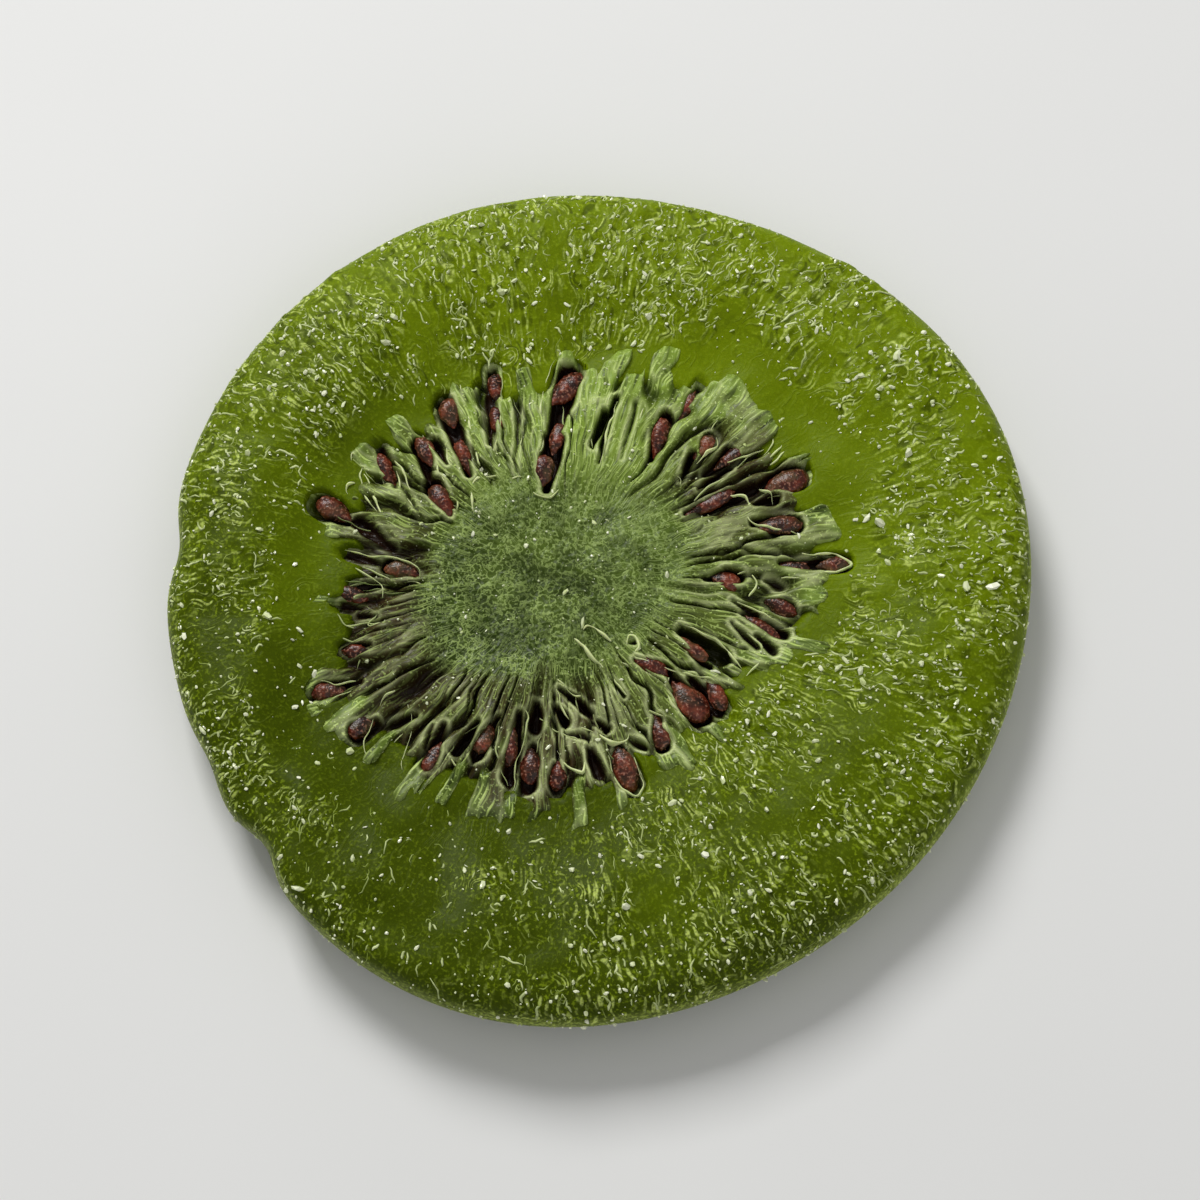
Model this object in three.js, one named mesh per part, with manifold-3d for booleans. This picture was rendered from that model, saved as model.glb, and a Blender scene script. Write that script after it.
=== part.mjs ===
// A dried, sugared kiwi slice, lying flat with its better cut face up.
// One closed solid: a disc of flesh with a rounded, slightly lifted edge, a pithy core a little off
// the middle, a ring of seed pockets between swollen finger-like walls, and the seeds grown into it.
// Millimetres and degrees. +Z is up, z = 0 is the surface that the slice rests on, and the origin is
// under the middle of the outline. Angles run anticlockwise from +X, seen from above.
import * as THREE from "three";
import { mergeVertices } from "three/addons/utils/BufferGeometryUtils.js";
import Module from "manifold-3d";

const wasm = await Module();
wasm.setup();

// Driving dimensions.
const SLICE_RADIUS = 22.2; // mean radius of the outline
const RIM_TOP = 4.7; // top of the thick outer flesh
const RIM_WIDEST = 2.2; // height at which the edge is widest
const EDGE_LIFT = 0.7; // most that the drying edge curls up off the table
const LIFT_STARTS = 0.72; // share of the way from the seed ring to the outline where the curl begins
const CORE_CENTRE = [-1.95, 0.6]; // middle of the core, from the middle of the outline

// Each face of the slice: its own highest level, how far in from the outline its edge rounds over, the
// share of the flesh's width that slopes down to the seed ring, and depths below that level.
const TOP_FACE = {
  sign: 1,
  level: RIM_TOP,
  rounding: 3.0,
  slope: 0.55,
  valley: 0.95,
  pocket: 1.75,
  finger: 0.95,
  core: 0.5,
};
const UNDERSIDE = {
  sign: -1,
  level: 0,
  rounding: 2.2,
  slope: 0.35,
  valley: 0.35,
  pocket: 1.1,
  finger: 0.55,
  core: 0.45,
};

// Outline: [waves round the edge, height, phase], then [angle, depth, half width] of shrunken dents.
const OUTLINE_WAVES = [
  [1, 0.4, 120],
  [2, 0.23, 99],
  [3, 0.48, 52],
  [5, 0.12, 158],
];
const OUTLINE_DENTS = [
  [173, 0.55, 5],
  [204, 0.3, 5],
  [218, 0.75, 4.5],
];

// Distances from the core's centre, one every 30 degrees from +X: the core's edge and the seed ring's.
const CORE_EDGE = [6.2, 6.9, 5.4, 5.2, 6.3, 6.0, 6.9, 7.7, 5.8, 5.0, 4.6, 5.2];
const RING_EDGE = [14.5, 14.0, 13.6, 11.8, 11.8, 12.8, 11.8, 13.8, 12.9, 12.5, 11.0, 11.6];

// Seeds on the upper face: [angle, distance from the core's centre, length, width, turn from radial].
const TOP_SEEDS = [
  [0, 8.3, 1.6, 0.9, -20],
  [4, 11.9, 1.7, 0.65, -9],
  [4, 13.9, 1.8, 0.8, 1],
  [15, 11.5, 2.4, 1.0, -10],
  [25, 12.7, 2.4, 1.3, -4],
  [29, 8.7, 2.6, 0.85, -2],
  [38, 10.9, 1.9, 0.7, 3],
  [45, 10.3, 1.7, 0.7, 6],
  [56, 11.6, 1.9, 0.6, 7],
  [57, 9.3, 2.2, 0.95, 19],
  [89, 10.6, 2.4, 1.2, -45],
  [92, 7.7, 1.9, 0.75, -16],
  [99, 5.9, 1.7, 1.0, -19],
  [108, 11.3, 1.6, 0.75, -13],
  [111, 9.4, 1.6, 0.7, -16],
  [122, 10.9, 1.6, 1.15, -22],
  [127, 8.3, 2.2, 0.7, -17],
  [135, 9.9, 1.8, 0.9, -21],
  [146, 7.4, 2.1, 1.05, -27],
  [146, 10.9, 1.9, 0.8, -28],
  [161, 12.4, 2.0, 1.2, -12],
  [176, 8.1, 1.9, 0.85, -12],
  [184, 10.6, 1.5, 0.8, -20],
  [200, 11.0, 1.6, 0.7, -25],
  [206, 13.1, 1.8, 0.9, -21],
  [217, 12.6, 1.6, 1.0, 0],
  [235, 11.3, 1.7, 0.8, 6],
  [245, 9.2, 1.8, 0.95, 5],
  [253, 9.0, 2.4, 0.95, 10],
  [261, 9.8, 1.9, 1.05, 9],
  [269, 10.3, 1.4, 0.95, 1],
  [288, 10.3, 2.4, 1.3, 1],
  [302, 9.2, 2.3, 0.9, -12],
  [314, 6.3, 2.1, 0.8, 20],
  [316, 9.0, 2.6, 1.45, -7],
  [323, 9.8, 1.9, 0.85, -30],
  [331, 7.5, 2.0, 0.7, -8],
  [347, 10.4, 2.2, 0.7, -18],
  [354, 11.1, 1.9, 0.8, -20],
];
const SEED_THICKNESS = 0.7; // of a seed's width
const SEED_TAPER = 0.28; // how much broader a seed's outer end is than its middle
const SEED_RISE = 0.45; // of a seed's thickness, from its pocket's floor up to its middle
const HIDDEN_SEEDS = 12; // on the underside, spread evenly
const HIDDEN_SEED_SIZE = [1.9, 0.95];

// Broad soft unevenness of the shrunken upper face: [height, waves along x, waves along y, phase], with
// the waves in radians for each millimetre.
const LUMPS = [
  [0.08, 0.42, 0.51, 1.3],
  [0.08, 0.42, -0.51, 0.4],
  [0.07, 0.93, -0.71, 2.1],
  [0.05, 1.21, 1.07, -1.0],
];
const FOLDS = { height: 0.09, count: 17, sway: 2, swayCount: 3 }; // shallow folds that run out to the edge

const SLOT_MERGE = 5; // seeds closer together than this share a pocket
const FINGER_PITCH = 9; // angle that one swollen wall takes between two pockets
const EDGE_POINTS = 104; // sides of the outline

const { cos, sin, sqrt, hypot, PI, round, max, min } = Math;
const rad = (degrees) => (degrees * PI) / 180;
const clamp01 = (x) => min(1, max(0, x));
const smooth = (x) => clamp01(x) ** 2 * (3 - 2 * clamp01(x));
const mix = (a, b, t) => a + (b - a) * t;

// A value given every 30 degrees, smoothly between them.
function around(keys, angle) {
  const at = ((((angle % 360) + 360) % 360) * keys.length) / 360;
  const k = Math.floor(at);
  return mix(keys[k % keys.length], keys[(k + 1) % keys.length], smooth(at - k));
}

function outlineRadius(angle) {
  let r = SLICE_RADIUS;
  for (const [waves, height, phase] of OUTLINE_WAVES) r += height * cos(rad(waves * angle - phase));
  for (const [at, depth, halfWidth] of OUTLINE_DENTS) {
    const off = ((angle - at + 540) % 360) - 180;
    r -= depth * Math.exp(-((off / halfWidth) ** 2));
  }
  return r;
}

// The middle of the outline's box, which becomes the origin.
const outlineBox = new THREE.Box2();
for (let angle = 0; angle < 360; angle += 0.5) {
  const r = outlineRadius(angle);
  outlineBox.expandByPoint(new THREE.Vector2(r * cos(rad(angle)), r * sin(rad(angle))));
}
const MIDDLE = outlineBox.getCenter(new THREE.Vector2());

// Three closed curves carry the shape: the core's edge, the seed ring's edge and the outline.
const coreEdge = (angle) => [
  CORE_CENTRE[0] + around(CORE_EDGE, angle) * cos(rad(angle)),
  CORE_CENTRE[1] + around(CORE_EDGE, angle) * sin(rad(angle)),
];
const ringEdge = (angle) => [
  CORE_CENTRE[0] + around(RING_EDGE, angle) * cos(rad(angle)),
  CORE_CENTRE[1] + around(RING_EDGE, angle) * sin(rad(angle)),
];
const outline = (angle) => [
  outlineRadius(angle) * cos(rad(angle)) - MIDDLE.x,
  outlineRadius(angle) * sin(rad(angle)) - MIDDLE.y,
];
const between = (a, b, t) => [mix(a[0], b[0], t), mix(a[1], b[1], t)];

const lumps = (x, y) => LUMPS.reduce((sum, [h, kx, ky, phase]) => sum + h * sin(kx * x + ky * y + phase), 0);

function folds(angle, out) {
  const sway = FOLDS.sway * sin(rad(FOLDS.swayCount * angle));
  return FOLDS.height * smooth(2 * out) * sin(rad(FOLDS.count * angle) + sway);
}

// The edge lifts off the table on two opposite sides.
function edgeLift(angle, out) {
  const share = 0.5 + 0.5 * cos(rad(2 * angle - 110));
  return EDGE_LIFT * share * smooth((out - LIFT_STARTS) / (1 - LIFT_STARTS));
}

// Pockets lie where seeds are, and swollen walls fill the angles between them.
function ringLayout(seeds) {
  const slots = [];
  for (const angle of seeds.map((s) => s[0]).sort((a, b) => a - b)) {
    if (slots.length && angle - slots.at(-1) < SLOT_MERGE) slots.push((slots.pop() + angle) / 2);
    else slots.push(angle);
  }
  const fingers = [];
  slots.forEach((from, i) => {
    const to = i + 1 < slots.length ? slots[i + 1] : slots[0] + 360;
    const count = max(1, round((to - from) / FINGER_PITCH));
    const pitch = (to - from) / count;
    for (let k = 0; k < count; k++) {
      const length = 0.9 + 0.12 * sin(7.3 * (from + k * pitch)); // of the way out to the ring's edge
      fingers.push({ angle: from + (k + 0.5) * pitch, halfWidth: min(0.42 * pitch, 5), length });
    }
  });
  return { slots, fingers };
}

// Depth below the face's level, at a share of the way from the core's edge to the ring's edge.
function ringDepth(face, fingers, angle, t) {
  const floor = mix(mix(face.core, face.pocket, smooth(t / 0.22)), face.valley, smooth((t - 0.72) / 0.28));
  let swell = 0;
  for (const f of fingers) {
    const off = (((angle - f.angle + 540) % 360) - 180) / f.halfWidth;
    if (off * off >= 1) continue;
    const along = smooth(t / 0.18) * smooth((f.length + 0.08 - t) / 0.25);
    swell = max(swell, sqrt(1 - off * off) * along);
  }
  return floor - face.finger * swell;
}

const coreDepth = (face, share) => face.core - 0.12 * (1 - share * share);

const fleshDepth = (face, out) => face.valley * (1 - smooth(out / face.slope));

// A height on one face, from a depth below that face's level.
const height = (face, depth, x, y) => face.level - face.sign * depth + (face.sign > 0 ? lumps(x, y) : 0);

// The closed surface is a run of rings from the top's middle, over the edge, to the underside's middle.
const positions = [];
const triangles = [];
function addPoint(x, y, z) {
  positions.push(x, y, z);
  return positions.length / 3 - 1;
}

function addRing(angles, pointAt) {
  return { angles, points: angles.map((a) => addPoint(...pointAt(a))) };
}

// Joins two rings, taking whichever next point comes first round the circle.
function joinRings(a, b) {
  const n = a.points.length;
  const m = b.points.length;
  let i = 0;
  let j = 0;
  while (i < n || j < m) {
    const nextA = i < n ? a.angles[(i + 1) % n] + (i + 1 === n ? 360 : 0) : Infinity;
    const nextB = j < m ? b.angles[(j + 1) % m] + (j + 1 === m ? 360 : 0) : Infinity;
    const here = [a.points[i % n], b.points[j % m]];
    if (nextA <= nextB) triangles.push(...here, a.points[++i % n]);
    else triangles.push(...here, b.points[++j % m]);
  }
}

const evenAngles = (count) => Array.from({ length: count }, (_, k) => (360 * k) / count);

// Angles that follow the pockets and the walls' edges, shoulders and crowns.
function ringAngles({ slots, fingers }, marks) {
  const angles = [...slots];
  for (const f of fingers) for (const mark of marks) angles.push(f.angle + mark * f.halfWidth);
  return angles.map((a) => ((a % 360) + 360) % 360).sort((a, b) => a - b);
}

// Rings of one face from its middle outwards, as far as the rounded edge.
function faceRings(face, layout, detail) {
  const rings = [];
  for (const [share, count] of detail.core) {
    rings.push(
      addRing(evenAngles(count), (a) => {
        const [x, y] = between(CORE_CENTRE, coreEdge(a), share);
        return [x, y, height(face, coreDepth(face, share), x, y)];
      }),
    );
  }
  const angles = ringAngles(layout, detail.marks);
  for (const t of detail.ring) {
    rings.push(
      addRing(angles, (a) => {
        const [x, y] = between(coreEdge(a), ringEdge(a), t);
        return [x, y, height(face, ringDepth(face, layout.fingers, a, t), x, y)];
      }),
    );
  }
  for (const out of detail.flesh) {
    rings.push(
      addRing(evenAngles(detail.fleshCount), (a) => {
        const [x, y] = between(ringEdge(a), outline(a), out);
        return [x, y, fleshHeight(face, a, out, x, y)];
      }),
    );
  }
  return rings;
}

// Height of the flesh between the seed ring (out = 0) and the outline (out = 1), with its rounded edge.
function fleshHeight(face, angle, out, x, y) {
  const [ox, oy] = outline(angle);
  const inset = min(1, hypot(ox - x, oy - y) / face.rounding);
  const flat = height(face, fleshDepth(face, out), x, y) + (face.sign > 0 ? folds(angle, out) : 0);
  return mix(RIM_WIDEST, flat, sqrt(1 - (1 - inset) ** 2)) + edgeLift(angle, out);
}

// One seed: a sphere drawn out to a pointed oval, with its long axis along the pocket.
function seedSolid(face, [angle, distance, length, width, turn]) {
  const geometry = new THREE.SphereGeometry(1, 6, 4);
  geometry.rotateZ(-PI / 2);
  const p = geometry.attributes.position;
  for (let i = 0; i < p.count; i++) {
    const taper = 1 + SEED_TAPER * p.getX(i);
    p.setXYZ(i, p.getX(i), p.getY(i) * taper, p.getZ(i) * taper);
  }
  const x = CORE_CENTRE[0] + distance * cos(rad(angle));
  const y = CORE_CENTRE[1] + distance * sin(rad(angle));
  const thickness = width * SEED_THICKNESS;
  const t = (distance - around(CORE_EDGE, angle)) / (around(RING_EDGE, angle) - around(CORE_EDGE, angle));
  const depth = ringDepth(face, [], angle, clamp01(t)) - SEED_RISE * thickness;
  const place = new THREE.Object3D();
  place.position.set(x, y, height(face, depth, x, y));
  place.rotation.z = rad(angle + turn);
  place.scale.set(length / 2, width / 2, thickness / 2);
  place.updateMatrix();
  return solidFrom(geometry.applyMatrix4(place.matrix));
}

// Seeds of the hidden face: one rule, evenly spread, in two staggered circles.
function hiddenSeeds() {
  return Array.from({ length: HIDDEN_SEEDS }, (_, k) => {
    const angle = (360 * (k + 0.3 * sin(5 * k))) / HIDDEN_SEEDS + 6;
    const share = k % 2 ? 0.42 : 0.62;
    const distance = mix(around(CORE_EDGE, angle), around(RING_EDGE, angle), share);
    return [angle, distance, ...HIDDEN_SEED_SIZE, 12 * sin(3 * k)];
  });
}

// A closed geometry as a solid that can be joined.
function solidFrom(geometry) {
  const bare = new THREE.BufferGeometry();
  bare.setAttribute("position", geometry.getAttribute("position"));
  bare.setIndex(geometry.index);
  const merged = mergeVertices(bare, 1e-4);
  return new wasm.Manifold(
    new wasm.Mesh({
      numProp: 3,
      vertProperties: new Float32Array(merged.attributes.position.array),
      triVerts: new Uint32Array(merged.index.array),
    }),
  );
}

function fleshSolid(topLayout, underLayout) {
  const top = faceRings(TOP_FACE, topLayout, {
    core: [[0.3, 16], [0.62, 36], [0.86, 72]],
    ring: [0, 0.14, 0.34, 0.6, 0.8, 0.93, 1.02],
    marks: [-1, -0.6, 0, 0.6, 1],
    flesh: [0.14, 0.32, 0.5, 0.66, 0.78, 0.87, 0.94, 0.98],
    fleshCount: EDGE_POINTS,
  });
  const widest = addRing(evenAngles(EDGE_POINTS), (a) => [...outline(a), RIM_WIDEST + edgeLift(a, 1)]);
  const under = faceRings(UNDERSIDE, underLayout, {
    core: [[0.45, 16], [0.85, 36]],
    ring: [0, 0.25, 0.75],
    marks: [-1, 0, 1],
    flesh: [0.04, UNDERSIDE.slope, LIFT_STARTS, 0.84, 0.93, 0.98],
    fleshCount: 64,
  });
  const rings = [...top, widest, ...under.reverse()];
  const first = rings[0];
  const last = rings.at(-1);
  const [cx, cy] = CORE_CENTRE;
  const topMiddle = addPoint(cx, cy, height(TOP_FACE, coreDepth(TOP_FACE, 0), cx, cy));
  const underMiddle = addPoint(cx, cy, height(UNDERSIDE, coreDepth(UNDERSIDE, 0), cx, cy));
  first.points.forEach((p, i) => triangles.push(topMiddle, p, first.points[(i + 1) % first.points.length]));
  rings.slice(1).forEach((ring, i) => joinRings(rings[i], ring));
  last.points.forEach((p, i) => triangles.push(underMiddle, last.points[(i + 1) % last.points.length], p));

  const geometry = new THREE.BufferGeometry();
  geometry.setAttribute("position", new THREE.Float32BufferAttribute(positions, 3));
  geometry.setIndex(triangles);
  return solidFrom(geometry);
}

function sliceGeometry() {
  const under = hiddenSeeds();
  let solid = fleshSolid(ringLayout(TOP_SEEDS), ringLayout(under));
  for (const seed of TOP_SEEDS) solid = solid.add(seedSolid(TOP_FACE, seed));
  for (const seed of under) solid = solid.add(seedSolid(UNDERSIDE, seed));
  const mesh = solid.getMesh();
  const geometry = new THREE.BufferGeometry();
  geometry.setAttribute("position", new THREE.BufferAttribute(mesh.vertProperties, mesh.numProp));
  geometry.setIndex(new THREE.BufferAttribute(mesh.triVerts, 1));
  geometry.computeVertexNormals();
  return geometry;
}

const driedFlesh = new THREE.MeshStandardMaterial({ color: 0x6f8420, roughness: 0.5, metalness: 0 });
const slice = new THREE.Mesh(sliceGeometry(), driedFlesh);
slice.name = "kiwi_slice";

const part = new THREE.Group();
part.add(slice);
export default part;
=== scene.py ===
"""A dried, sugared kiwi slice: translucent flesh, a pithy core, seed pockets, seeds and sugar.

Lengths in the making of a shape are millimetres, and add_piece() turns them into metres. Angles are in
degrees, anticlockwise from +X seen from above. Places in the lists below are (angle, distance) about the
core's centre. The slice lies on z = 0 with its better face up.
"""

from math import cos, pi, radians, sin

import bpy
import numpy as np
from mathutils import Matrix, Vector


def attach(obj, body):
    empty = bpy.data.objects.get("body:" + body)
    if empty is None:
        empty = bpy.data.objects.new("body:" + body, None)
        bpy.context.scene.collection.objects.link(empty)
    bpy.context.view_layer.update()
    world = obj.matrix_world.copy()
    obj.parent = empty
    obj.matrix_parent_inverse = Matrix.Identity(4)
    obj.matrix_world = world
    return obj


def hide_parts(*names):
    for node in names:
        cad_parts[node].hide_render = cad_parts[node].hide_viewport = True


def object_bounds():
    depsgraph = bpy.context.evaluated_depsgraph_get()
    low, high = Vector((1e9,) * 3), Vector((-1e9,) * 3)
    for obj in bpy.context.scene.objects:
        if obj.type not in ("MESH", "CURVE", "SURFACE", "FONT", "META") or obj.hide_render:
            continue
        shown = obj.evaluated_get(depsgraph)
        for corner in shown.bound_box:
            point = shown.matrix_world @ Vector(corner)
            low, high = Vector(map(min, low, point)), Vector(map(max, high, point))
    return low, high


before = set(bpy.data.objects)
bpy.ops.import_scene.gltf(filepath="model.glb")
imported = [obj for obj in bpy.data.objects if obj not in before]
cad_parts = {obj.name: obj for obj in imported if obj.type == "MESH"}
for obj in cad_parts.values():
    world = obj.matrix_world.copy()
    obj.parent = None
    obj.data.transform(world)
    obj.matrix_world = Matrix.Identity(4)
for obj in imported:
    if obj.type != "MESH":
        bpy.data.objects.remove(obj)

CAD_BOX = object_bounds()
MM = 0.001
NODE = "kiwi_slice"
UP = np.array([0, 0, 1.0])

# ---------------------------------------------------------------- driving dimensions, as in the CAD part
SLICE_RADIUS = 22.2
RIM_WIDEST = 2.2
EDGE_LIFT = 0.7
LIFT_STARTS = 0.72
LIFT_HIGHEST = 55
CORE_CENTRE = np.array([-1.95, 0.6])
TOP = {"level": 4.7, "rounding": 3.0, "slope": 0.55, "valley": 0.95, "pocket": 1.75, "core": 0.5}
UNDER = {"level": 0.0, "rounding": 2.2, "slope": 0.35, "valley": 0.35, "pocket": 1.1, "core": 0.45}

# (waves round the edge, height, phase), and (angle, depth, half width) of the shrunken dents.
OUTLINE_WAVES = [(1, 0.4, 120), (2, 0.23, 99), (3, 0.48, 52), (5, 0.12, 158)]
OUTLINE_DENTS = [(173, 0.55, 5), (204, 0.3, 5), (218, 0.75, 4.5)]

# Distances from the core's centre, one every 30 degrees from +X.
CORE_EDGE = np.array([6.2, 6.9, 5.4, 5.2, 6.3, 6.0, 6.9, 7.7, 5.8, 5.0, 4.6, 5.2])
RING_EDGE = np.array([14.5, 14.0, 13.6, 11.8, 11.8, 12.8, 11.8, 13.8, 12.9, 12.5, 11.0, 11.6])
RING_DISTANCE = 12.0  # about how far the ring's edge is from the core's centre

# Broad lumps of the upper face: (height, radians a millimetre along x and along y, phase).
LUMPS = [
    (0.08, 0.42, 0.51, 1.3),
    (0.08, 0.42, -0.51, 0.4),
    (0.07, 0.93, -0.71, 2.1),
    (0.05, 1.21, 1.07, -1.0),
]
FOLDS = {"height": 0.09, "count": 17, "sway": 2, "sway_count": 3}

# Seeds of the upper face: (angle, distance, length, width, turn from radial).
TOP["seeds"] = [
    (0, 8.3, 1.6, 0.9, -20), (4, 11.9, 1.7, 0.65, -9), (4, 13.9, 1.8, 0.8, 1),
    (15, 11.5, 2.4, 1.0, -10), (25, 12.7, 2.4, 1.3, -4), (29, 8.7, 2.6, 0.85, -2),
    (38, 10.9, 1.9, 0.7, 3), (45, 10.3, 1.7, 0.7, 6), (56, 11.6, 1.9, 0.6, 7),
    (57, 9.3, 2.2, 0.95, 19), (89, 10.6, 2.4, 1.2, -45), (92, 7.7, 1.9, 0.75, -16),
    (99, 5.9, 1.7, 1.0, -19), (108, 11.3, 1.6, 0.75, -13), (111, 9.4, 1.6, 0.7, -16),
    (122, 10.9, 1.6, 1.15, -22), (127, 8.3, 2.2, 0.7, -17), (135, 9.9, 1.8, 0.9, -21),
    (146, 7.4, 2.1, 1.05, -27), (146, 10.9, 1.9, 0.8, -28), (161, 12.4, 2.0, 1.2, -12),
    (176, 8.1, 1.9, 0.85, -12), (184, 10.6, 1.5, 0.8, -20), (200, 11.0, 1.6, 0.7, -25),
    (206, 13.1, 1.8, 0.9, -21), (217, 12.6, 1.6, 1.0, 0), (235, 11.3, 1.7, 0.8, 6),
    (245, 9.2, 1.8, 0.95, 5), (253, 9.0, 2.4, 0.95, 10), (261, 9.8, 1.9, 1.05, 9),
    (269, 10.3, 1.4, 0.95, 1), (288, 10.3, 2.4, 1.3, 1), (302, 9.2, 2.3, 0.9, -12),
    (314, 6.3, 2.1, 0.8, 20), (316, 9.0, 2.6, 1.45, -7), (323, 9.8, 1.9, 0.85, -30),
    (331, 7.5, 2.0, 0.7, -8), (347, 10.4, 2.2, 0.7, -18), (354, 11.1, 1.9, 0.8, -20),
]
SEED_THICKNESS = 0.7
HIDDEN_SEEDS = 24
HIDDEN_SEED_SIZE = (1.9, 0.95)

# Pockets of the upper face: (angle, distance) of the inner end and of the outer end, the half width, and how
# brown it is inside (0 is green).
TOP["pockets"] = [
    (5, 11.0, 4, 14.8, 0.42, 1.0), (11, 9.0, 7, 11.2, 0.14, 0.5), (18, 10.1, 13.5, 12.9, 0.62, 1.0),
    (23, 10.6, 21.5, 12.2, 0.4, 1.0), (27.5, 11.3, 25, 14.0, 0.72, 1.0),
    (29.5, 7.1, 27, 11.6, 0.42, 1.0), (35.5, 8.4, 35, 10.8, 0.28, 1.0),
    (38.5, 9.3, 38.5, 11.5, 0.4, 1.0), (43.5, 9.8, 46.5, 11.3, 0.4, 1.0),
    (42, 8.1, 46, 9.8, 0.3, 0.9), (56, 11.0, 56.6, 13.0, 0.22, 1.0),
    (54.3, 7.8, 59.5, 10.8, 0.48, 1.0), (65, 7.2, 68.3, 10.4, 0.12, 0.3),
    (73.3, 6.5, 74.5, 10.6, 0.24, 0.2), (77.5, 7.2, 76, 9.6, 0.34, 0.2),
    (101, 4.7, 92.5, 8.2, 0.62, 1.0), (95, 7.2, 87.5, 12.0, 0.7, 1.0),
    (113, 6.2, 102.8, 10.2, 0.13, 0.8), (117.5, 8.1, 107, 12.5, 0.38, 1.0),
    (114, 10.3, 111, 11.8, 0.22, 0.2), (131, 7.1, 121.5, 12.0, 0.52, 1.0),
    (134, 8.5, 130.5, 10.3, 0.28, 1.0), (149.5, 6.6, 141, 8.8, 0.52, 1.0),
    (142.5, 8.3, 133.8, 10.9, 0.46, 1.0), (149.5, 9.9, 141.5, 12.0, 0.32, 1.0),
    (156, 7.7, 147.5, 9.9, 0.12, 0.6), (169, 8.7, 162, 11.4, 0.44, 1.0),
    (163.5, 11.2, 160.5, 13.7, 0.64, 1.0), (178.5, 7.3, 173.5, 9.4, 0.5, 1.0),
    (174, 9.2, 171.5, 11.2, 0.3, 1.0), (181.5, 9.2, 182, 10.9, 0.45, 1.0),
    (188, 10.2, 186, 11.5, 0.3, 1.0), (192, 9.5, 189.5, 10.7, 0.22, 1.0),
    (199.5, 10.2, 198, 11.8, 0.34, 1.0), (207.6, 11.4, 205, 14.0, 0.5, 1.0),
    (206, 10.2, 207.5, 11.9, 0.12, 1.0), (219, 11.8, 217, 13.6, 0.54, 0.9),
    (225, 10.2, 221, 11.5, 0.3, 0.9), (232, 9.6, 235.5, 12.3, 0.44, 1.0),
    (229.5, 10.0, 232, 11.3, 0.16, 0.8), (241.5, 8.5, 239.5, 10.9, 0.4, 0.9),
    (247, 7.8, 245, 10.5, 0.44, 1.0), (254, 7.3, 256, 11.2, 0.46, 1.0),
    (258.5, 6.5, 261, 8.2, 0.42, 1.0), (261, 8.6, 261.5, 11.4, 0.5, 1.0),
    (268.5, 9.6, 268.5, 11.2, 0.4, 1.0), (266, 6.6, 273, 7.8, 0.32, 1.0),
    (268, 5.7, 283, 7.4, 0.3, 1.0), (271, 8.1, 280, 8.5, 0.16, 1.0),
    (279, 8.9, 281, 10.7, 0.42, 1.0), (281, 7.4, 287, 8.4, 0.24, 1.0),
    (288.5, 9.1, 288, 11.7, 0.62, 1.0), (292, 8.9, 297, 9.9, 0.22, 0.9),
    (304, 8.6, 299.5, 10.5, 0.44, 1.0), (317.5, 7.5, 314.5, 10.7, 0.74, 1.0),
    (322, 8.2, 319.5, 10.9, 0.52, 1.0), (310, 5.6, 319, 7.7, 0.36, 1.0),
    (314.5, 4.8, 319, 5.1, 0.16, 1.0), (335.5, 6.4, 333, 9.7, 0.6, 0.5),
    (329, 7.5, 328.5, 9.0, 0.24, 1.0), (295, 5.8, 297.5, 7.1, 0.15, 0.4),
    (346, 8.8, 340, 10.7, 0.2, 1.0), (343.5, 10.2, 341, 11.7, 0.3, 1.0),
    (349.8, 9.2, 345.5, 12.0, 0.34, 1.0), (353, 8.7, 350.3, 10.2, 0.2, 1.0),
    (355, 10.3, 353, 12.1, 0.4, 1.0), (360.5, 7.2, 361.5, 9.5, 0.42, 1.0),
    (361, 10.3, 359, 11.4, 0.25, 0.9),
]

# Tongues of pale pith that lie over the flesh, in the same form. The last number is how pale one is.
TOP["tips"] = [
    (62, 8.6, 64.5, 12.8, 0.42, 1.0), (70.3, 8.4, 71.3, 11.8, 0.4, 1.0),
    (80, 8.8, 77.8, 12.3, 0.42, 0.9), (84, 8.8, 82.5, 11.8, 0.4, 0.8),
    (100.5, 8.8, 100, 12.0, 0.42, 0.8), (117, 9.0, 115.5, 11.8, 0.35, 1.0),
    (49.5, 9.3, 49, 12.9, 0.42, 0.8), (53, 9.3, 53.5, 13.6, 0.42, 0.9),
    (146.5, 10.0, 147.5, 12.9, 0.3, 0.9), (206, 11.9, 208.5, 14.7, 0.4, 0.7),
    (212, 11.1, 213, 14.3, 0.36, 0.8), (223, 10.9, 224, 13.6, 0.3, 0.5),
    (233.5, 10.9, 234.5, 14.2, 0.3, 0.6), (243.5, 9.5, 242.5, 13.4, 0.3, 0.4),
    (249, 8.9, 250, 12.9, 0.3, 0.5), (258, 9.8, 258, 12.8, 0.28, 0.4),
    (274.8, 9.0, 274.8, 13.0, 0.3, 0.6), (305, 8.5, 304, 12.0, 0.35, 0.4),
    (336, 9.0, 341, 12.5, 0.45, 0.6), (358, 10.3, 357, 13.6, 0.42, 0.7),
    (14, 11.5, 16, 14.4, 0.45, 0.5), (344, 10.5, 345, 14.2, 0.4, 0.6),
]

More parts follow.
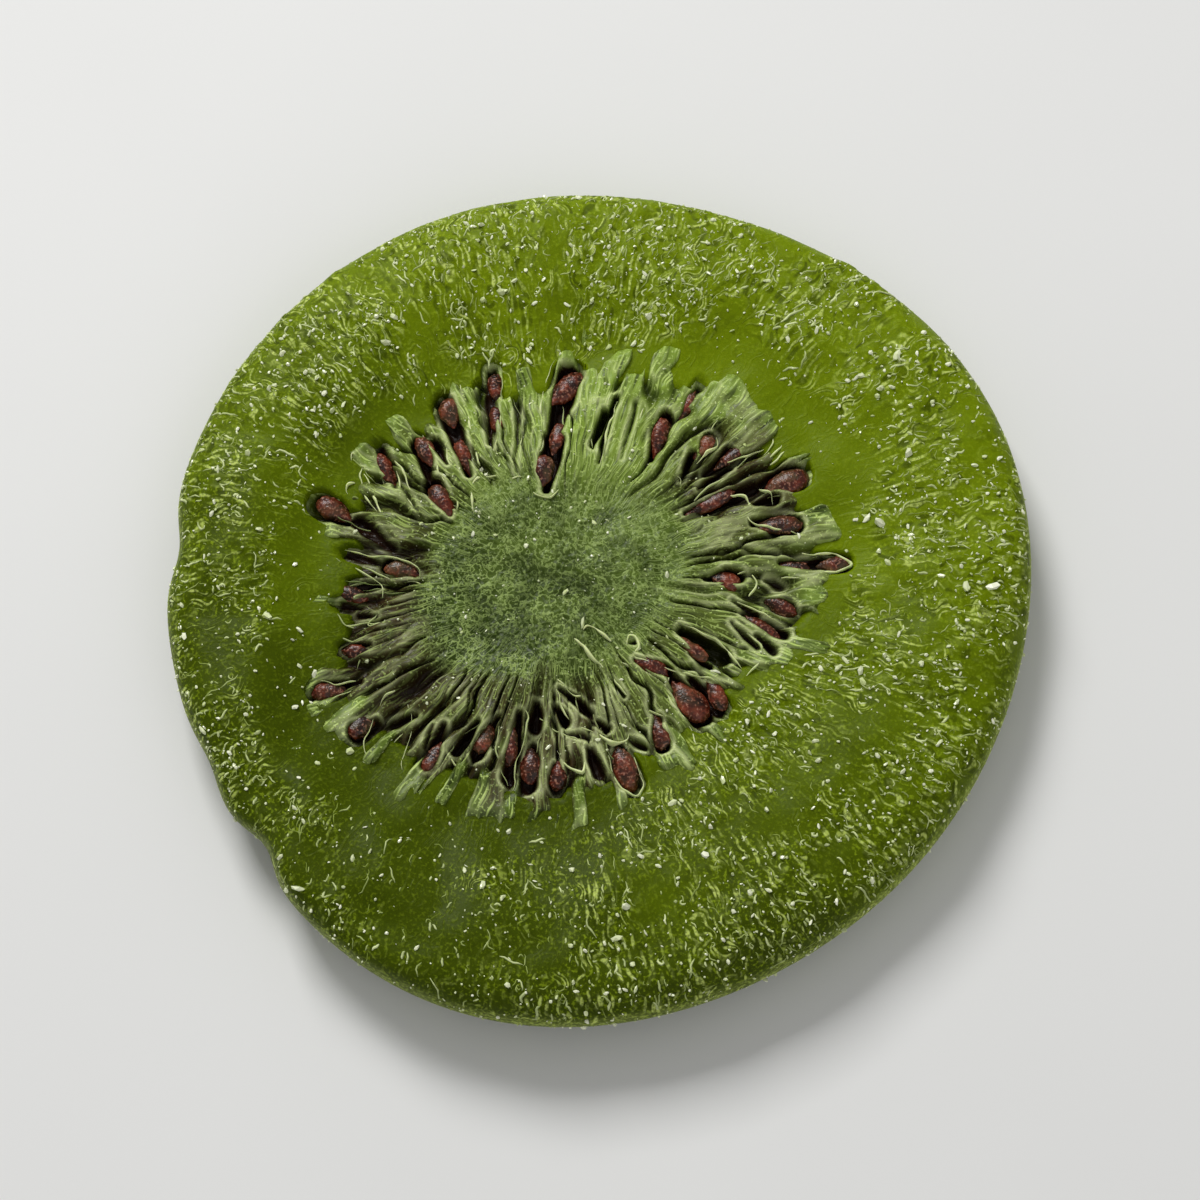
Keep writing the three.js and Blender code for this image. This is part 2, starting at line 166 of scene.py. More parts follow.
# Torn edges of the pockets' skins that stand up: thickness, how pale, and the places (angle, distance) that
# the edge runs through.
TORN_EDGES = [
    (0.17, 1.0, [(110, 5.8), (117, 6.1), (124, 6.7), (131, 6.9), (137, 6.2), (143, 5.6)]),
    (0.12, 0.9, [(88, 5.2), (94, 4.6), (102, 4.4), (108, 4.8)]),
    (0.13, 1.0, [(310, 5.3), (313, 4.8), (317, 4.6), (320.5, 4.9), (318, 5.4), (312, 5.6), (320, 7.8)]),
    (0.15, 1.0, [(274, 3.4), (280, 3.3), (286, 3.8), (292, 4.9), (296, 6.0)]),
    (0.12, 1.0, [(291, 3.1), (297, 2.9), (305, 3.7), (309, 5.1)]),
    (0.1, 0.9, [(300, 4.9), (306, 5.6), (311, 6.6), (315, 7.4)]),
    (0.1, 0.9, [(300, 5.0), (297.5, 6.2), (300, 7.6), (305.5, 8.8)]),
    (0.15, 1.0, [(315.5, 7.5), (311.5, 7.9), (310, 9.0), (310.3, 9.9), (308.5, 11.1)]),
    (0.1, 0.8, [(284.4, 9.5), (284.2, 10.6), (286, 11.5), (288.5, 11.9), (291, 11.4), (291.8, 10.1)]),
    (0.1, 0.7, [(247, 7.0), (254, 7.1), (257, 7.7), (257.6, 9.0), (257.2, 10.2), (257.6, 11.4)]),
    (0.08, 0.6, [(248.5, 8.4), (250, 9.5), (253, 10.4), (256, 11.2)]),
    (0.12, 1.0, [(268.5, 9.0), (270, 9.4), (273, 10.0), (276, 10.2), (277.3, 9.4), (276, 8.8), (271, 8.8)]),
    (0.09, 0.8, [(262, 7.4), (267, 7.9), (272, 8.3), (277, 8.8)]),
    (0.16, 1.0, [(281.5, 8.3), (283.5, 8.75), (287, 9.0), (291, 9.0), (294.3, 8.5)]),
    (0.12, 1.0, [(266.5, 5.4), (270, 5.6), (275, 6.1), (279, 6.2)]),
    (0.1, 0.9, [(268, 5.9), (270.5, 6.6), (273, 7.5)]),
    (0.1, 0.8, [(274, 7.7), (280, 8.2), (285, 8.6)]),
    (0.14, 1.0, [(22, 10.5), (25, 10.45), (27.5, 9.9), (30.5, 9.4)]),
    (0.1, 0.9, [(20.5, 11.6), (24, 11.7), (26, 11.3)]),
    (0.1, 0.9, [(11.5, 12.4), (14, 11.2), (17, 10.2), (21, 10.0)]),
    (0.09, 0.8, [(16.5, 9.6), (19, 9.4), (21.5, 9.0)]),
    (0.08, 0.7, [(32.5, 8.0), (33.5, 9.2), (33.3, 10.4), (35.2, 11.8)]),
    (0.09, 0.9, [(36.8, 10.7), (35.3, 11.7), (35, 12.6)]),
    (0.13, 1.0, [(42, 9.3), (42.4, 10.1), (42.2, 10.8), (44.5, 11.0)]),
    (0.08, 0.7, [(39.5, 7.9), (42, 8.1), (45, 8.0)]),
    (0.08, 0.7, [(46.5, 11.2), (48, 12.4), (48.6, 13.1)]),
    (0.08, 0.9, [(30.3, 12.4), (31, 13.1), (31.8, 13.5)]),
    (0.08, 1.0, [(32, 12.5), (32.8, 13.3), (34, 13.6)]),
    (0.08, 0.9, [(33.6, 12.4), (34.4, 13.1), (35.2, 13.4)]),
    (0.09, 0.8, [(171, 11.3), (172.2, 10.0), (171.5, 8.6), (175, 7.4), (180, 7.2)]),
    (0.08, 0.8, [(174.3, 11.6), (177.5, 10.2), (181, 9.3), (186, 9.2)]),
    (0.07, 0.7, [(176, 10.1), (179.5, 8.9), (181.7, 8.4)]),
    (0.09, 0.8, [(181.2, 8.6), (181, 7.7), (182.5, 7.1)]),
    (0.08, 0.7, [(188, 10.0), (191, 9.6), (194, 10.2), (194.5, 9.5), (197.5, 8.9), (198, 7.9)]),
    (0.07, 0.6, [(189, 11.5), (192, 11.2), (193.5, 10.8)]),
    (0.07, 0.6, [(194.5, 12.1), (196.5, 11.2), (198, 10.3)]),
    (0.12, 1.0, [(164.5, 8.6), (160, 9.8), (155, 10.6), (150, 11.8)]),
    (0.08, 1.0, [(146.2, 11.6), (146.3, 12.5), (147.5, 12.9), (149, 12.8)]),
    (0.1, 0.9, [(148, 12.1), (152, 11.8), (156, 11.0), (159, 10.2)]),
    (0.14, 1.0, [(153.5, 12.0), (155, 12.25), (156.3, 12.0)]),
    (0.1, 0.9, [(140.3, 11.2), (142.5, 10.9), (143.5, 10.2), (147, 9.4), (152, 8.2)]),
    (0.11, 1.0, [(145, 10.4), (148.5, 9.8), (151.5, 9.0), (154.5, 8.1)]),
    (0.1, 0.9, [(132.3, 10.6), (134.5, 9.5), (137, 8.8), (139, 8.4)]),
    (0.1, 0.9, [(138.5, 8.4), (140.5, 7.2), (144.5, 6.5)]),
    (0.1, 0.9, [(127.5, 9.9), (130.5, 9.0), (133.4, 8.3), (134.2, 7.1)]),
    (0.13, 1.0, [(124.5, 7.5), (121, 9.0), (118.5, 10.4), (116, 12.0)]),
    (0.08, 0.8, [(203.5, 13.3), (205.5, 12.6), (207.4, 11.7)]),
    (0.08, 0.9, [(208.4, 13.1), (209, 12.2)]),
    (0.09, 0.9, [(215, 10.2), (215.3, 11.0), (217.6, 11.7)]),
    (0.08, 0.8, [(218, 12.0), (221, 13.1), (223.5, 13.4), (225.2, 12.8), (225.4, 11.2)]),
    (0.08, 0.8, [(220.5, 10.1), (224, 10.6), (227, 11.0), (230.5, 12.6), (233.5, 13.4)]),
    (0.09, 0.9, [(238.5, 10.9), (241, 11.1), (243, 11.2)]),
    (0.11, 0.9, [(102.5, 6.9), (98.5, 7.3), (96.5, 9.2), (95, 10.8), (92, 12.1)]),
    (0.09, 0.8, [(109, 6.7), (105, 8.0), (102, 9.7)]),
    (0.09, 0.8, [(119, 6.9), (113.5, 8.4), (108.5, 9.8), (106.2, 11.4)]),
    (0.09, 0.8, [(78.5, 7.3), (80.2, 9.0), (79, 10.2), (76.8, 11.2)]),
    (0.1, 0.8, [(61, 7.5), (63.5, 8.6), (65.5, 9.8), (66, 11.0)]),
    (0.1, 0.9, [(72, 6.4), (73.4, 8.4), (73.6, 10.2)]),
    (0.1, 0.9, [(355, 9.6), (358, 9.9), (361.5, 9.7)]),
    (0.12, 1.0, [(1, 11.2), (1.6, 13.0), (3.4, 14.9), (6, 14.0), (7, 12.4)]),
    (0.1, 0.9, [(348.5, 11.4), (350.5, 10.4), (352, 9.0)]),
    (0.1, 0.9, [(338, 7.0), (337.5, 8.2), (335, 9.6), (333, 10.2)]),
    (0.1, 0.9, [(331, 10.6), (336, 10.9), (341, 10.7), (346.5, 9.2)]),
    (0.09, 0.8, [(320.5, 7.8), (325, 9.3), (328.5, 10.3)]),
    (0.1, 0.9, [(328, 6.5), (332, 6.0), (337, 6.2)]),
    (0.09, 0.8, [(340.5, 12.4), (343, 12.3)]),
]

# How the slice looks, one value every 30 degrees from +X: pale and brown walls, bright pocket edges, how far
# the flesh is bare of frost beside the ring, in millimetres, and how thick the frost is beyond that.
PALENESS = np.array([0.4, 0.3, 1.0, 1.0, 0.7, 0.45, 0.1, 0.1, 0.15, 0.1, 0.5, 0.4])
BROWN = np.array([0.3, 0.9, 0.1, 0.0, 0.25, 0.35, 0.95, 0.75, 0.75, 0.95, 0.4, 0.35])
RIM_LIGHT = np.array([0.9, 0.6, 0.6, 0.8, 0.9, 0.7, 0.5, 0.6, 0.7, 0.9, 1.0, 1.0])
BARE_BAND = np.array([0.0, 2.6, 1.4, -0.8, -0.5, 0.4, 2.8, 3.2, 2.2, 0.8, -0.8, -1.0])
FROST_SHARE = np.array([1.0, 1.0, 1.0, 1.0, 1.0, 1.0, 0.9, 0.75, 0.55, 0.5, 0.75, 0.95])


# ---------------------------------------------------------------- helpers
def smooth(x):
    x = np.clip(x, 0, 1)
    return x * x * (3 - 2 * x)


def mix(a, b, t):
    return a + (b - a) * t


def bell(x, width):
    """1 at zero, falling smoothly to nothing at about twice the width."""
    return np.exp(-((x / width) ** 2))


def wrap(angle):
    """An angle difference, from -180 to 180."""
    return np.mod(angle + 180, 360) - 180


def unit(vectors):
    return vectors / np.maximum(np.linalg.norm(vectors, axis=-1, keepdims=True), 1e-9)


def around(keys, angle):
    """A value given every 30 degrees, smoothly between them."""
    place = np.mod(angle, 360) * len(keys) / 360
    k = np.floor(place).astype(int)
    return mix(keys[k % len(keys)], keys[(k + 1) % len(keys)], smooth(place - k))


def lattice(ix, iy, iz, seed):
    """A repeatable number from 0 to 1 for each point of a whole-number grid.

    The large odd numbers scramble the bits.
    """
    big = np.uint64
    h = (ix * 374761393 + iy * 668265263 + iz * 1442695041 + seed * 974634777).astype(np.int64).astype(big)
    h = (h ^ (h >> big(13))) * big(1274126177)
    h = (h ^ (h >> big(16))) & big(0xFFFFFF)
    return h.astype(float) / 0xFFFFFF


def noise(points, size, seed):
    """Smooth noise from -1 to 1 at points (n, 3). Its bumps are about size across, and seed picks them."""
    p = np.asarray(points) / size
    cell = np.floor(p).astype(np.int64)
    f = p - cell
    f = f * f * f * (f * (f * 6 - 15) + 10)
    total = np.zeros(len(p))
    for corner in range(8):
        dx, dy, dz = corner & 1, corner >> 1 & 1, corner >> 2 & 1
        weight = (f[:, 0] if dx else 1 - f[:, 0]) * (f[:, 1] if dy else 1 - f[:, 1])
        weight = weight * (f[:, 2] if dz else 1 - f[:, 2])
        total += weight * lattice(cell[:, 0] + dx, cell[:, 1] + dy, cell[:, 2] + dz, seed)
    return 2 * total - 1


def layered(points, size, seed):
    """Noise with half as much of a finer one on top."""
    return noise(points, size, seed) + 0.5 * noise(points, size / 2, seed + 1)


def ridges(points, size, seed):
    """Thin crests, from 0 to 1, along the lines where the noise crosses zero."""
    return np.clip(1 - 4 * np.abs(noise(points, size, seed)), 0, 1)


def swirled(points, size, amount, seed):
    """The points moved about by noise, so that what is drawn with them curls."""
    return points + amount * np.column_stack([noise(points, size, seed + k) for k in range(3)])


# ---------------------------------------------------------------- layout of the slice
def outline_radius(angle):
    r = SLICE_RADIUS + 0 * angle
    for waves, height, phase in OUTLINE_WAVES:
        r = r + height * np.cos(np.radians(waves * angle - phase))
    for middle, depth, half_width in OUTLINE_DENTS:
        r = r - depth * bell(wrap(angle - middle), half_width)
    return r


def polar(angle, r):
    a = np.radians(angle)
    return np.stack([r * np.cos(a), r * np.sin(a)], -1)


EVERY_ANGLE = np.arange(0, 360, 0.5)
RAW_OUTLINE = polar(EVERY_ANGLE, outline_radius(EVERY_ANGLE))
MIDDLE = (RAW_OUTLINE.min(0) + RAW_OUTLINE.max(0)) / 2
BOX_MIDDLE = (np.array(CAD_BOX[0][:2]) + np.array(CAD_BOX[1][:2])) / 2 / MM


def outline(angle):
    return polar(angle, outline_radius(angle)) - MIDDLE + BOX_MIDDLE


def at(angle, distance):
    return CORE_CENTRE + polar(angle, distance)


def ring_edge(angle):
    return at(angle, around(RING_EDGE, angle))


def reach(angle):
    """Width of the flesh, from the ring's edge to the outline."""
    return np.linalg.norm(outline(angle) - ring_edge(angle), axis=-1)


def ring_span(angle):
    """Distances of the core's edge and of the ring's edge."""
    return around(CORE_EDGE, angle), around(RING_EDGE, angle)


def spot(xy):
    """Angle and distance of points about the core's centre, and the ring's span there."""
    away = xy - CORE_CENTRE
    angle = np.degrees(np.arctan2(away[:, 1], away[:, 0]))
    return angle, np.linalg.norm(away, axis=1), *ring_span(angle)


def spun(points, run):
    """Points moved so that noise runs in lines away from the core, run times as long as they are wide."""
    away = points[:, :2] - CORE_CENTRE
    a = np.arctan2(away[:, 1], away[:, 0])
    turned = RING_DISTANCE * np.cos(a), RING_DISTANCE * np.sin(a)
    return np.column_stack([*turned, np.linalg.norm(away, axis=1) / run])


def level_points(xy):
    """Places at one height, to read noise at."""
    return np.column_stack([xy, np.full(len(xy), 3.0)])


def nearest_drop(xy, drops):
    """Distance beyond the edge of the nearest long drop (negative inside it), and that drop's last number.

    A drop is (angle, distance, angle, distance, half width, number), and is widest near its second end.
    """
    nearest, number = np.full(len(xy), 9.0), np.zeros(len(xy))
    for from_angle, from_distance, to_angle, to_distance, half, value in drops:
        start = at(from_angle, from_distance)
        along = at(to_angle, to_distance) - start
        length = np.linalg.norm(along)
        run = np.clip((xy - start) @ (along / length), 0.45 * half, length - half)
        width = half * (0.45 + 0.55 * smooth(run / (0.6 * length)))
        away = np.linalg.norm(xy - start - np.outer(run / length, along), axis=1) - width
        number = np.where(away < nearest, value, number)
        nearest = np.minimum(away, nearest)
    return nearest, number


def hidden_seeds():
    seeds = []
    for k in range(HIDDEN_SEEDS):
        angle = 360 * (k + 0.3 * sin(5 * k)) / HIDDEN_SEEDS + 6
        distance = mix(*ring_span(angle), 0.42 if k % 2 else 0.62)
        seeds.append((angle, float(distance), *HIDDEN_SEED_SIZE, 12 * sin(3 * k)))
    return seeds


def hidden_pockets(seeds):
    """A pocket round each seed and a narrow slot beside it."""
    rows = []
    for angle, distance, _, _, turn in seeds:
        lean = turn / 8
        rows.append((angle - lean, distance - 1.7, angle + lean, distance + 1.4, 0.6, 1.0))
        rows.append((angle + 7, distance - 1.6 + turn / 12, angle + 8, distance + 1.2, 0.16, 0.6))
    return rows


UNDER["seeds"] = hidden_seeds()
UNDER["pockets"] = hidden_pockets(UNDER["seeds"])
UNDER["tips"] = [(angle + 8, 11.0, angle + 8, 12.4, 0.4, 0.5) for angle, *_ in UNDER["seeds"][::3]]


# ---------------------------------------------------------------- heights of the body
def lumps(xy):
    return sum(h * np.sin(kx * xy[..., 0] + ky * xy[..., 1] + phase) for h, kx, ky, phase in LUMPS)


def folds(angle, out):
    sway = FOLDS["sway"] * np.sin(np.radians(FOLDS["sway_count"] * angle))
    return FOLDS["height"] * smooth(2 * out) * np.sin(np.radians(FOLDS["count"] * angle) + sway)


def edge_lift(angle, out):
    """How far the dried edge has curled up, most at LIFT_HIGHEST and opposite it."""
    share = 0.5 + 0.5 * np.cos(np.radians(2 * angle - 2 * LIFT_HIGHEST))
    return EDGE_LIFT * share * smooth((out - LIFT_STARTS) / (1 - LIFT_STARTS))


# Both faces are shaped as if each looked up: settle() turns the underside's shapes over.
def height(face, depth, xy):
    return face["level"] - depth + (lumps(xy) if face is TOP else 0)


def flesh_height(face, angle, out, xy):
    inset = np.minimum(1, np.linalg.norm(outline(angle) - xy, axis=-1) / face["rounding"])
    depth = face["valley"] * (1 - smooth(out / face["slope"]))
    flat = height(face, depth, xy) + (folds(angle, out) if face is TOP else 0)
    sign = 1 if face is TOP else -1
    return mix(sign * RIM_WIDEST, flat, np.sqrt(1 - (1 - inset) ** 2)) + sign * edge_lift(angle, out)


def settle(face, verts, faces):
    """The shape as it lies: the underside's is turned over."""
    if face is TOP:
        return verts, faces
    return verts * [1, 1, -1], [f[::-1] for f in faces]


# ---------------------------------------------------------------- meshes
def skin(rings, first_cap, last_cap):
    """Faces over closed rings of points, and the middle points that close the two ends.

    Seen from outside, the rings run anticlockwise and each next ring lies further out.
    Rings of unlike counts are stitched. Returns vertices (n, 3) and faces.
    """
    verts = [np.asarray(r, float) for r in rings] + [np.array([first_cap, last_cap], float)]
    starts = np.cumsum([0] + [len(r) for r in verts])
    faces = []
    for a, b, ring, following in zip(starts, starts[1:], verts, verts[1:-1]):
        n, m = len(ring), len(following)
        if n == m:
            k = np.arange(n)
            after = (k + 1) % n
            faces += np.stack([a + k, b + k, b + after, a + after], 1).tolist()
            continue
        p = q = 0
        while p < n or q < m:
            if q >= m or (p < n and (p + 1) * m <= (q + 1) * n):
                faces.append([a + p % n, b + q % m, a + (p + 1) % n])
                p += 1
            else:
                faces.append([a + p % n, b + q % m, b + (q + 1) % m])
                q += 1
    k = np.arange(len(verts[0]))
    faces += np.stack([np.full_like(k, starts[-2]), k, (k + 1) % len(k)], 1).tolist()
    k = np.arange(len(verts[-2]))
    last = starts[-3]
    faces += np.stack([last + k, np.full_like(k, starts[-2] + 1), last + (k + 1) % len(k)], 1).tolist()
    return np.concatenate(verts), faces


def tubes(paths, up, half_width, half_height, sides):
    """Closed tubes along paths (tubes, sections, 3). half_width and half_height are (tubes, sections).

    Returns vertices (tubes, n, 3) and the faces of one tube.
    """
    along = np.gradient(paths, axis=1)
    side = unit(np.cross(up, along))
    up = unit(np.cross(along, side))
    turn = -np.arange(sides) * 2 * pi / sides
    across = side[:, :, None] * (half_width[..., None] * np.cos(turn))[..., None]
    upwards = up[:, :, None] * (half_height[..., None] * np.sin(turn))[..., None]
    rings = paths[:, :, None] + across + upwards
    _, faces = skin(list(rings[0]), paths[0, 0], paths[0, -1])
    return np.concatenate([rings.reshape(len(paths), -1, 3), paths[:, :1], paths[:, -1:]], 1), faces


def add_object(name, data):
    obj = bpy.data.objects.new(name, data)
    bpy.context.scene.collection.objects.link(obj)
    return obj


def add_piece(name, parts, material, smooth_shading=True):
    """One object from parts, each (vertices in millimetres, faces, {attribute: one number a vertex})."""
    verts, faces, attributes, offset = [], [], {}, 0
    for points, part_faces, values in parts:
        verts.append(points)
        faces += [[i + offset for i in f] for f in part_faces]
        offset += len(points)
        for key, value in values.items():
            attributes.setdefault(key, []).append(np.broadcast_to(value, len(points)))
    mesh = bpy.data.meshes.new(name)
    mesh.from_pydata((np.concatenate(verts) * MM).tolist(), [], faces)
    for key, value in attributes.items():
        numbers = np.concatenate(value).astype("f")
        mesh.attributes.new(key, "FLOAT", "POINT").data.foreach_set("value", numbers)
    mesh.polygons.foreach_set("use_smooth", np.full(len(faces), smooth_shading))
    mesh.validate()
    mesh.update()
    mesh.materials.append(material)
    obj = add_object(name, mesh)
    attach(obj, "root")
    return obj


# ---------------------------------------------------------------- the flesh
TOP_POINTS = 930
UNDER_POINTS = 320
TOP_ROWS = (58, 26)  # rings over the flesh, and closer ones round its edge
UNDER_ROWS = (14, 10)
HIDDEN_DROP = 0.3  # how far the flesh lies below the pockets' own floors
SHOWS_WITHIN = 1.3  # how far inside the ring's edge the flesh still shows between the walls
CUT_WIDTH = 0.9  # over which it then falls to its hidden floor


def grid_normals(grid):
    """Normals of a grid of rings (rows, points, 3), pointing up where the rings run outwards."""
    return unit(np.cross(np.gradient(grid, axis=0), np.roll(grid, -1, 1) - np.roll(grid, 1, 1)))


def face_grid(face, points, flesh_rows, edge_rows):
    """Rings of one face from the middle to the outline, and each point's angle and share of the flesh.

    The share is 0 at the seed ring's edge, 1 at the outline and negative inside the ring.
    """
    angle = np.arange(points) * 360 / points
    ring, rim = ring_edge(angle), outline(angle)
    flat = 1 - face["rounding"] / reach(angle)
    outs = [flat * k / flesh_rows for k in range(flesh_rows)]
    outs += [1 - (1 - flat) * (1 - sin(pi / 2 * k / edge_rows)) for k in range(edge_rows)]
    rows = []
    for share in (0.3, 0.6):
        rows.append((mix(CORE_CENTRE, ring, share), (share - 1) * RING_DISTANCE / reach(angle)))
    backs = SHOWS_WITHIN + CUT_WIDTH - 0.3 * np.arange(7)
    rows += [(ring - polar(angle, back), -back / reach(angle)) for back in backs]
    rows += [(mix(ring, rim, out[:, None]), out) for out in outs]
    grid = []
    for xy, out in rows:
        z = flesh_height(face, angle, np.maximum(out, 0), xy)
        grid.append(np.column_stack([xy, z - flesh_cut(face, xy)]))
    return np.array(grid), np.array([(angle, out) for _, out in rows])


def flesh_cut(face, xy):
    """How far the flesh is cut away for the core, walls and pockets, which have skins of their own."""
    _, r, _, outer = spot(xy)
    below = face["pocket"] - face["valley"] + HIDDEN_DROP
    away, _ = nearest_drop(xy, face["pockets"])
    inside = 1 - smooth((r - outer + SHOWS_WITHIN + CUT_WIDTH) / CUT_WIDTH)
    return below * np.maximum(inside, 1 - smooth(away / 0.25))


def frosted(points, angle, beyond):
    """How thickly the flesh is frosted: bare beside the ring, and in patches further out."""
    starts = around(BARE_BAND, angle) + 0.9 * noise(points, 2.2, 112)
    patches = np.clip(0.62 + 0.6 * layered(points, 2.4, 113), 0.1, 1)
    return around(FROST_SHARE, angle) * patches * smooth((beyond - starts) / 1.5)


def flesh_relief(points, angle, beyond):
    """Height of the fine relief, thickness of the frost, and how pale the relief makes each point."""
    frost = frosted(points, angle, beyond)
    curled = swirled(points, 0.8, 0.3, 11)
    web = np.maximum(ridges(curled, 0.6, 21), ridges(spun(curled, 2.5), 0.5, 22))
    streaks = ridges(spun(swirled(points, 2.0, 0.5, 14), 6), 0.8, 23) * (0.3 + 0.7 * frost)
    grain = layered(points, 0.4, 31)
    swell = 0.1 * layered(points, 2.2, 41) + 0.06 * layered(spun(points, 3), 1.2, 43)
    relief = swell + frost * (0.08 * web + 0.05 * grain) + 0.03 * streaks
    relief = relief * smooth((beyond + 0.3) / 0.3) * smooth((reach(angle) - beyond) / 0.5)
    return relief, frost, 0.7 * web + 0.3 * grain + 0.4 * streaks


def raise_flesh(face, grid, facts):
    """The grid with its fine relief, and its colour facts. The underside is wrinkled by the ring alone."""
    points, angle, out = grid.reshape(-1, 3), facts[:, 0].ravel(), facts[:, 1].ravel()
    beyond = out * reach(angle)
    relief, frost, web = flesh_relief(points, angle, beyond)
    if face is UNDER:
        relief = 0.3 * relief * (1 - smooth(out / face["slope"]))
    relief = relief.reshape(grid.shape[:2])
    return grid + grid_normals(grid) * relief[..., None], {"beyond": beyond, "frost": frost, "web": web}


def hidden_floor(face):
    """Height of the flesh under the core, the walls and the pockets."""
    return face["level"] - face["pocket"] - HIDDEN_DROP


def make_flesh(material):
    top, top_places = face_grid(TOP, TOP_POINTS, *TOP_ROWS)
    under, under_places = face_grid(UNDER, UNDER_POINTS, *UNDER_ROWS)
    angle = np.arange(TOP_POINTS) * 360 / TOP_POINTS
    widest = np.column_stack([outline(angle), RIM_WIDEST + edge_lift(angle, np.ones(TOP_POINTS))])
    top, top_facts = raise_flesh(TOP, top, top_places)
    under, under_facts = raise_flesh(UNDER, under, under_places)
    rings = [*top, widest, *(under[::-1] * [1, 1, -1])]
    verts, faces = skin(rings, [*CORE_CENTRE, hidden_floor(TOP)], [*CORE_CENTRE, -hidden_floor(UNDER)])
    values = {}
    for key, upper in top_facts.items():
        lower = under_facts[key].reshape(-1, UNDER_POINTS)[::-1].ravel()
        values[key] = np.concatenate([upper, upper[-TOP_POINTS:], lower, np.zeros(2)])
    vertex_angle = np.degrees(np.arctan2(verts[:, 1], verts[:, 0]))
    values["inset"] = np.linalg.norm(outline(vertex_angle) - verts[:, :2], axis=1)
    return add_piece("flesh", [(verts, faces, values)], material)


# ---------------------------------------------------------------- the core, its walls and the pockets
PITH_BEYOND = 2.6  # how far the pith reaches past the ring's edge, mostly under the flesh
# Points of one ring, and how many rings there are between the walls, past them and in the core.
TOP["pith_mesh"] = (900, 68, 12, 66)
UNDER["pith_mesh"] = (560, 40, 8, 26)


def wall_depth(face, xy):
    """Depth of the walls' tops, of the core and, past the ring, of the flesh."""
    angle, r, inner, outer = spot(xy)
    t = (r - inner) / (outer - inner)
    walls = mix(face["core"], face["valley"], smooth(t / 0.9))
    flesh = face["valley"] * (1 - smooth(np.maximum(r - outer, 0) / reach(angle) / face["slope"]))
    return np.where(t < 1, walls, flesh)


def ribs(points, brown):
    """Distance from the nearest groove between two walls, up to 1, and how far a wall reaches out.

    The walls are wide, with thin ones among them where the ring is brown. Every other one reaches far out.
    """
    lined = spun(swirled(points, 1.3, 0.32, 131), 8)
    wide = noise(lined, 0.95, 132)
    thin = np.abs(noise(lined, 0.75, 133))
    nearest = mix(np.abs(wide), np.minimum(np.abs(wide), thin), 0.7 * smooth(1.6 * brown))
    return np.clip(nearest / 0.42, 0, 1), np.clip(wide, -0.45, 0.45)


def pith_relief(points, t):
    """Curly felt in the core, which turns to fibres that run out along the walls."""
    curled = swirled(points, 0.7, 0.3, 51)
    felt = 0.09 * ridges(curled, 0.55, 61) + 0.06 * ridges(curled + 5, 0.4, 62)
    lined = spun(swirled(points, 1.3, 0.15, 54), 5)
    fibres = 0.07 * ridges(lined, 0.45, 71) + 0.05 * ridges(lined + 7, 0.3, 72)
    return mix(felt, fibres, smooth((t + 0.3) / 0.4)) + 0.08 * layered(points, 1.4, 81)


def pith_shape(face, xy):
    """Height of the core, walls and pockets, and the facts that colour them."""
    angle, r, inner, outer = spot(xy)
    t, beyond = (r - inner) / (outer - inner), r - outer
    points = level_points(xy)
    ragged = swirled(points, 0.8, 0.1, 121)[:, :2]
    relief = pith_relief(points, t)
    brown, light = around(BROWN, angle), around(RIM_LIGHT, angle)
    in_ring = smooth((t + 0.14 * noise(points, 1.0, 136) + 0.12) / 0.4)

    tip_away, tip_pale = nearest_drop(ragged, face["tips"])
    on_tip = (1 - smooth((tip_away + 0.1) / 0.25)) * smooth((beyond + 2.6) / 0.8)
    rib, reaching = ribs(points, brown)
    starts = 0.75 - 2.0 * reaching + 0.5 * noise(points, 0.9, 135)
    covered = smooth((beyond + starts) / 0.6) * smooth((beyond + 1.7) / 0.8) * (1 - on_tip)
    gap = np.minimum(mix(0.4, 0.7, brown) + 0.2 * smooth((t - 0.3) / 0.5), 0.8)
    groove = in_ring * (1 - smooth(rib / gap)) * (1 - on_tip)
    away, brown_inside = nearest_drop(ragged, face["pockets"])
    cut = smooth(-away / 0.3)
    edge = bell(away - 0.1, 0.09) * light
    side = bell(rib - gap - 0.05, 0.13) * in_ring * smooth(away / 0.2)
    edge = np.maximum(edge, 0.6 * light * side * (1 - covered))
    tip_side = bell(tip_away + 0.02, 0.08) * smooth((beyond + 1.5) / 0.8)
    edge = np.maximum(edge, 0.6 * tip_pale * tip_side)
    edge = edge * np.clip(0.7 + 0.8 * noise(points, 0.7, 151), 0, 1) * smooth((2.4 - beyond) / 0.5)
    fallen = 0.2 * np.exp(-np.maximum(away, 0) / 0.3)

    crown = in_ring * 0.2 * np.sqrt(rib) * (1 - 0.7 * on_tip) + relief + 0.08 * on_tip
    sinks = fallen + mix(0.5, 0.7, brown) * groove + 0.45 * covered
    wall = wall_depth(face, xy) + sinks - 0.12 * edge * (1 - 0.5 * on_tip) - crown
    floor = face["pocket"] - 0.2 * ridges(spun(points, 5), 0.7, 161) - 0.1 * layered(points, 0.6, 162)
    facts = {
        "t": t,
        # Where painted shade goes: in the pockets, and in the grooves between the walls.
        "sunk": np.maximum(smooth((0.02 - away) / 0.16), mix(0.75, 0.95, brown) * groove),
        "stain": np.where(away < 0.1, brown_inside, smooth(2 * brown)),
        "edge": edge,
        "brown": brown * in_ring * (1 - on_tip) * (1 - smooth((beyond + 0.9) / 0.9)),
        "pale": np.maximum(around(PALENESS, angle) * smooth((t + 0.25) / 0.7), on_tip * tip_pale * 0.8),
        "crest": (relief + 0.6 * in_ring * (rib - 0.6) * 0.15) / 0.15,
    }
    return height(face, mix(wall, floor, cut), xy), facts


